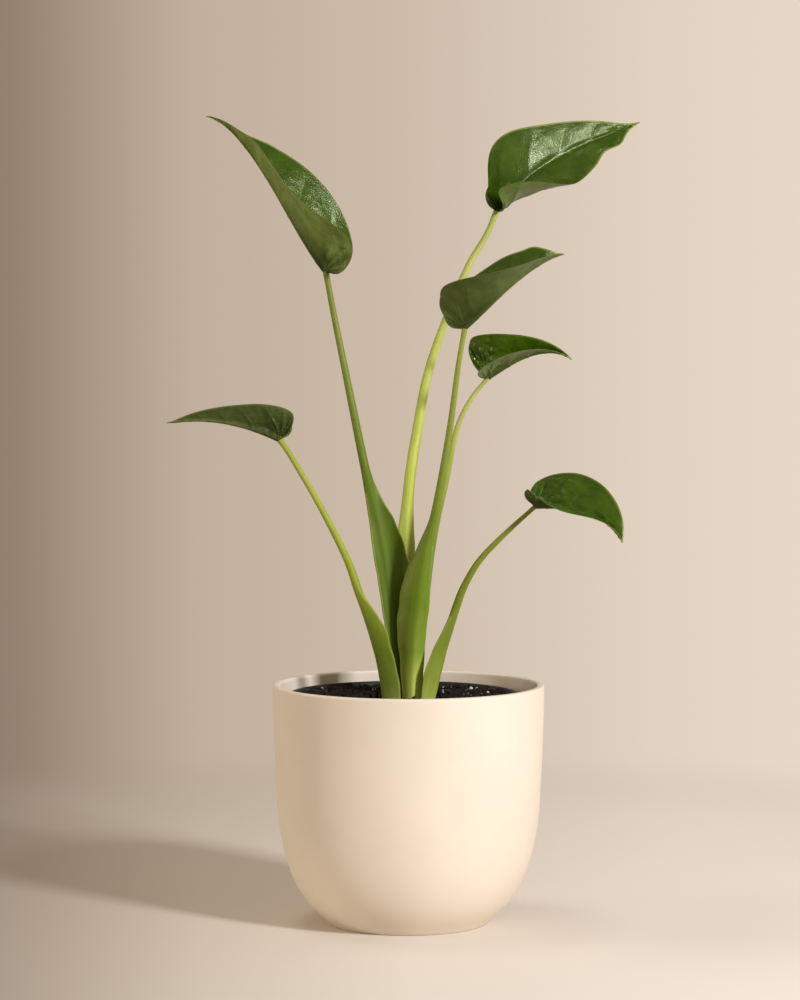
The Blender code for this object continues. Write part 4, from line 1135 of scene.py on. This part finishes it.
def stalk_stops():
    """Each stalk's colours from the foot (112 mm) up."""
    return {
        "upper_left": (112, 345, [(118, (0.120, 0.180, 0.016)), (170, (0.085, 0.135, 0.009)), (215, (0.090, 0.140, 0.011)),
                                  (250, (0.150, 0.200, 0.026)), (300, (0.210, 0.245, 0.050)), (335, (0.200, 0.230, 0.050))]),
        "upper_right": (112, 380, [(118, (0.280, 0.350, 0.055)), (190, (0.520, 0.550, 0.120)), (235, (0.560, 0.590, 0.130)),
                                   (300, (0.500, 0.515, 0.135)), (345, (0.485, 0.485, 0.155)), (370, (0.420, 0.430, 0.110))]),
        "centre": (112, 315, [(117, (0.800, 0.840, 0.200)), (126, (0.640, 0.700, 0.145)), (142, (0.260, 0.340, 0.042)), (166, (0.165, 0.235, 0.020)),
                              (200, (0.165, 0.225, 0.024)), (245, (0.225, 0.265, 0.038)), (300, (0.310, 0.325, 0.065))]),
        "mid_right": (112, 290, [(118, (0.120, 0.170, 0.020)), (165, (0.130, 0.180, 0.022)), (215, (0.250, 0.290, 0.050)),
                                 (250, (0.400, 0.420, 0.100)), (275, (0.460, 0.470, 0.150)), (287, (0.360, 0.380, 0.100))]),
        "lower_right": (112, 222, [(117, (0.420, 0.470, 0.100)), (128, (0.300, 0.350, 0.055)), (135, (0.255, 0.300, 0.040)), (160, (0.180, 0.225, 0.022)),
                                   (180, (0.200, 0.230, 0.026)), (205, (0.225, 0.250, 0.036)), (218, (0.200, 0.225, 0.040))]),
        "lower_left": (112, 258, [(117, (0.250, 0.300, 0.060)), (126, (0.165, 0.210, 0.030)), (140, (0.165, 0.210, 0.022)), (165, (0.250, 0.300, 0.034)),
                                  (190, (0.350, 0.385, 0.050)), (225, (0.390, 0.410, 0.070)), (252, (0.345, 0.365, 0.065))]),
    }


seeds = {name: 1.7 + 2.9 * n for n, name in enumerate(LEAVES)}
stops = stalk_stops()
# how bright each blade's upper and lower face are, partly painted light: some faces are brightened or darkened to
# stand in for the light that reaches them, most of all the upper-left leaf's underside; and how rough the upper
# one is
FACE_TONES_AND_PAINTED_LIGHT = {"upper_left": (0.85, 1.95, 0.23), "upper_right": (0.85, 1.05, 0.235), "centre": (0.90, 0.85, 0.34),
         "mid_right": (1.40, 1.05, 0.17), "lower_right": (1.05, 1.05, 0.18), "lower_left": (0.90, 0.56, 0.24)}
SHADES = {"upper_left": 1.00}           # how dark the underside is towards the stalk


def toned(colour, by):
    return tuple(by * c for c in colour)



for name, leaf in LEAVES.items():
    low, high, table = stops[name]
    stalk = build_petiole(name, leaf, stalk_green("stalk_" + name, table, low, high), seeds[name])
    stalk.name = "stalk_" + name
    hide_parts("petiole_" + name)
    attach(stalk, "root")
    # painted light: each leaf's face colours are scaled by its tone, which partly stands in for the light on that
    # leaf
    top_tone_and_painted_light, low_tone_and_painted_light, gloss = FACE_TONES_AND_PAINTED_LIGHT[name]
    faces = [blade_upper("upper_face_" + name, toned((0.028, 0.062, 0.0020), top_tone_and_painted_light),
                         toned((0.052, 0.102, 0.0042), top_tone_and_painted_light), gloss),
             blade_under("lower_face_" + name, toned((0.076, 0.112, 0.021), low_tone_and_painted_light),
                         toned((0.114, 0.160, 0.038), low_tone_and_painted_light), SHADES.get(name, 0.0))]
    blade = build_blade(name, leaf, faces, seeds[name])
    blade.name = "leaf_" + name
    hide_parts("blade_" + name)
    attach(blade, "root")

# ----------------------------------------------------------- the pots and mix
pot = build_cover_pot(ceramic())
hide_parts("cover_pot")
liner = build_liner(plastic())
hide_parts("nursery_pot")
bed = build_soil_bed(earth("mix_bed", (0.0065, 0.0042, 0.0028), (0.020, 0.0125, 0.0078)))
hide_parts("soil")

feet = np.vstack([petiole_path(leaf, 60)[0] for leaf in LEAVES.values()])
feet = feet[feet[:, 2] < 0.126][:, :2]
crumb = grains("mix_crumb", (0.0050, 0.0034, 0.0024), (0.019, 0.0115, 0.0070))
crumbs = scatter("soil_crumbs", 11, 1900, (0.0003, 0.0012), (0.55, 1.0), 0.55, 2, 0.45, crumb, feet)
chips = scatter("bark_chips", 23, 110, (0.0008, 0.0022), (0.22, 0.55), 0.35, 2, 0.25,
                grains("bark_brown", (0.012, 0.007, 0.0045), (0.052, 0.029, 0.016)), feet)
white = perlite()
seen = [(0.0207, -0.0345), (0.0290, -0.0260), (0.0262, -0.0480), (0.0385, -0.0120), (0.0410, -0.0390),
        (-0.0242, -0.0420), (0.0330, -0.0445)]
beads = scatter("perlite_beads", 37, 60, (0.0003, 0.0011), (0.7, 1.0), 0.30, 3, 0.35, white, feet)
beads_front = scatter("perlite_front", 41, len(seen), (0.0004, 0.0008), (0.7, 1.0), 0.30, 3, 0.15, white, feet,
                      places=seen)
fibres = build_fibres("fibres", 53, 46, grains("fibre_brown", (0.040, 0.022, 0.012), (0.150, 0.090, 0.045)), feet,
                      upright=[(-0.0185, -0.0005, 0.0056, 0.0009, 0.0, 0.00022),
                               (-0.0300, 0.0080, 0.0022, 0.0008, 0.0006, 0.00020),
                               (-0.0450, 0.0060, 0.0036, 0.0022, 0.0010, 0.00030),
                               (-0.0420, 0.0020, 0.0030, -0.0016, 0.0008, 0.00026)])
for piece, slot_name in ((pot, "ceramic"), (liner, "nursery_plastic"), (bed, "soil"), (crumbs, "soil"),
                         (chips, "soil"), (beads, "soil"), (beads_front, "soil"), (fibres, "soil")):
    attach(piece, "root")

# ------------------------------------------------------------------ the stage
scene = bpy.context.scene
scene.view_settings.view_transform = "Standard"


def paper(name, lit):
    """The pale paper sweep.  Far from the pot it is a glowing plain tone, a painted light rather than lit paper,
    and it falls off towards the left as painted shade."""
    g = Graph(name)
    split = g.node("ShaderNodeSeparateXYZ", {"Vector": g.place()})
    depth = g.math("MAXIMUM", g.math("ADD", split.outputs["Y"], 1.62), 0.8)
    angle = g.math("DIVIDE", split.outputs["X"], depth)
    # painted shade: the glowing tone falls off towards the left in place of the lamps' falloff
    tone = g.ramp(g.span(angle, -0.14, 0.14),
                  [(0.0, (0.262, 0.197, 0.145)), (0.07, (0.312, 0.235, 0.175)), (0.13, (0.385, 0.300, 0.228)),
                   (0.26, (0.530, 0.430, 0.338)), (0.50, (0.610, 0.503, 0.403)), (0.78, (0.752, 0.640, 0.530)),
                   (1.0, (0.812, 0.695, 0.592))])
    # painted light: this glow stands in for lit paper; the backdrop shows only the glow and the far floor blends
    # into it
    painted_glow = g.node("ShaderNodeEmission", {"Color": tone, "Strength": 1.0})
    out = g.tree.nodes["Material Output"]
    if not lit:
        g.put(out.inputs["Surface"], painted_glow.outputs[0])
        return g.mat
    # painted shade: the floor's colour darkens towards the left in place of the lamps' falloff
    floor_colour_with_painted_falloff = g.ramp(g.span(angle, -0.14, 0.14),
                    [(0.0, (0.400, 0.345, 0.290)), (0.10, (0.490, 0.430, 0.362)), (0.26, (0.648, 0.585, 0.508)),
                     (0.50, (0.778, 0.712, 0.632)), (1.0, (0.840, 0.775, 0.700))])
    # painted light: the floor is painted paler behind the pot and to its right
    away = g.math("MULTIPLY", g.span(split.outputs["Y"], -0.05, 0.35, 0.0, 0.85), g.span(angle, 0.01, 0.09))
    floor_colour_with_painted_falloff = g.mix(away, floor_colour_with_painted_falloff, (0.960, 0.890, 0.812))
    g.set(Base_Color=floor_colour_with_painted_falloff, Roughness=0.9, Specular_IOR_Level=0.1)
    # far from the pot the floor turns into the painted glow
    far = g.node("ShaderNodeMapRange", {"Value": split.outputs["Y"], "From Min": 0.20, "From Max": 1.35},
                 interpolation_type="SMOOTHERSTEP").outputs["Result"]
    reach = g.node("ShaderNodeVectorMath", {0: g.place()}, operation="LENGTH").outputs["Value"]
    ring = g.node("ShaderNodeMapRange", {"Value": reach, "From Min": 0.38, "From Max": 0.72},
                  interpolation_type="SMOOTHERSTEP").outputs["Result"]
    far = g.math("MAXIMUM", far, ring)
    blend = g.node("ShaderNodeMixShader", {0: far})
    g.put(blend.inputs[1], g.shader.outputs[0])
    g.put(blend.inputs[2], painted_glow.outputs[0])
    g.put(out.inputs["Surface"], blend.outputs[0])
    return g.mat


def disc(name, radius, z, material):
    verts = [(0, 0, z)] + [(radius * math.cos(a), radius * math.sin(a), z)
                           for a in np.linspace(0, 2 * math.pi, 96, endpoint=False)]
    faces = [(0, 1 + k, 1 + (k + 1) % 96) for k in range(96)]
    return make_object(name, verts, faces, [material])


def surround(name, radius, height, material):
    angle = np.linspace(0, 2 * math.pi, 96, endpoint=False)
    verts, faces = [], []
    rows = [(radius, 0.0)] + [(radius + 0.6 * math.sin(a), 0.6 - 0.6 * math.cos(a))
                              for a in np.linspace(0, math.pi / 2, 12)[1:]] + [(radius + 0.6, height)]
    for r, z in rows:
        verts += [(r * math.cos(a), r * math.sin(a), z) for a in angle]
    for i in range(len(rows) - 1):
        for k in range(96):
            j = (k + 1) % 96
            faces.append((i * 96 + k, i * 96 + j, (i + 1) * 96 + j, (i + 1) * 96 + k))
    return make_object(name, verts, faces, [material])


floor = disc("floor", 3.4, 0.0, paper("floor_paper_and_painted_light", True))
# the backdrop is a glow, a painted light seen by the camera alone
backdrop = surround("backdrop", 3.4, 4.0, paper("backdrop_painted_glow", False))
backdrop.visible_diffuse = backdrop.visible_glossy = False
backdrop.visible_shadow = backdrop.visible_transmission = False

world = bpy.data.worlds.new("studio")
scene.world = world
world.use_nodes = True
world.node_tree.nodes["Background"].inputs["Color"].default_value = (0.60, 0.50, 0.41, 1.0)
world.node_tree.nodes["Background"].inputs["Strength"].default_value = 0.63


def area_light(name, place, target, size_x, size_y, power, colour):
    data = bpy.data.lights.new(name, "AREA")
    data.shape = "RECTANGLE"
    data.size, data.size_y = size_x, size_y
    data.energy = power
    data.color = colour
    obj = bpy.data.objects.new(name, data)
    scene.collection.objects.link(obj)
    obj.location = place
    obj.rotation_mode = "QUATERNION"
    obj.rotation_quaternion = (Vector(target) - Vector(place)).to_track_quat("-Z", "Y")
    return obj


key_turn, key_rise, key_far = math.radians(43), math.radians(24), 1.7
key = area_light("key", (key_far * math.cos(key_rise) * math.sin(key_turn),
                         -key_far * math.cos(key_rise) * math.cos(key_turn),
                         0.15 + key_far * math.sin(key_rise)), (0, 0, 0.17), 0.24, 0.24, 27.5, (0.95, 0.965, 0.99))
top = area_light("top", (-0.35, 0.15, 1.5), (0, 0, 0.2), 0.38, 0.38, 2.9, (1.0, 0.95, 0.88))
side = area_light("side", (-1.30, -0.05, 0.30), (0, 0, 0.14), 0.70, 0.45, 5.2, (1.0, 0.90, 0.74))

camera_data = bpy.data.cameras.new("camera")
camera_data.sensor_width = 36.0
camera_data.lens = 112.46
camera_data.clip_start, camera_data.clip_end = 0.05, 50.0
camera = bpy.data.objects.new("camera", camera_data)
scene.collection.objects.link(camera)
camera.location = (-0.0044, -1.620, 0.305)
camera.rotation_euler = (math.radians(90.0 - 2.99), 0.0, 0.0)
scene.camera = camera
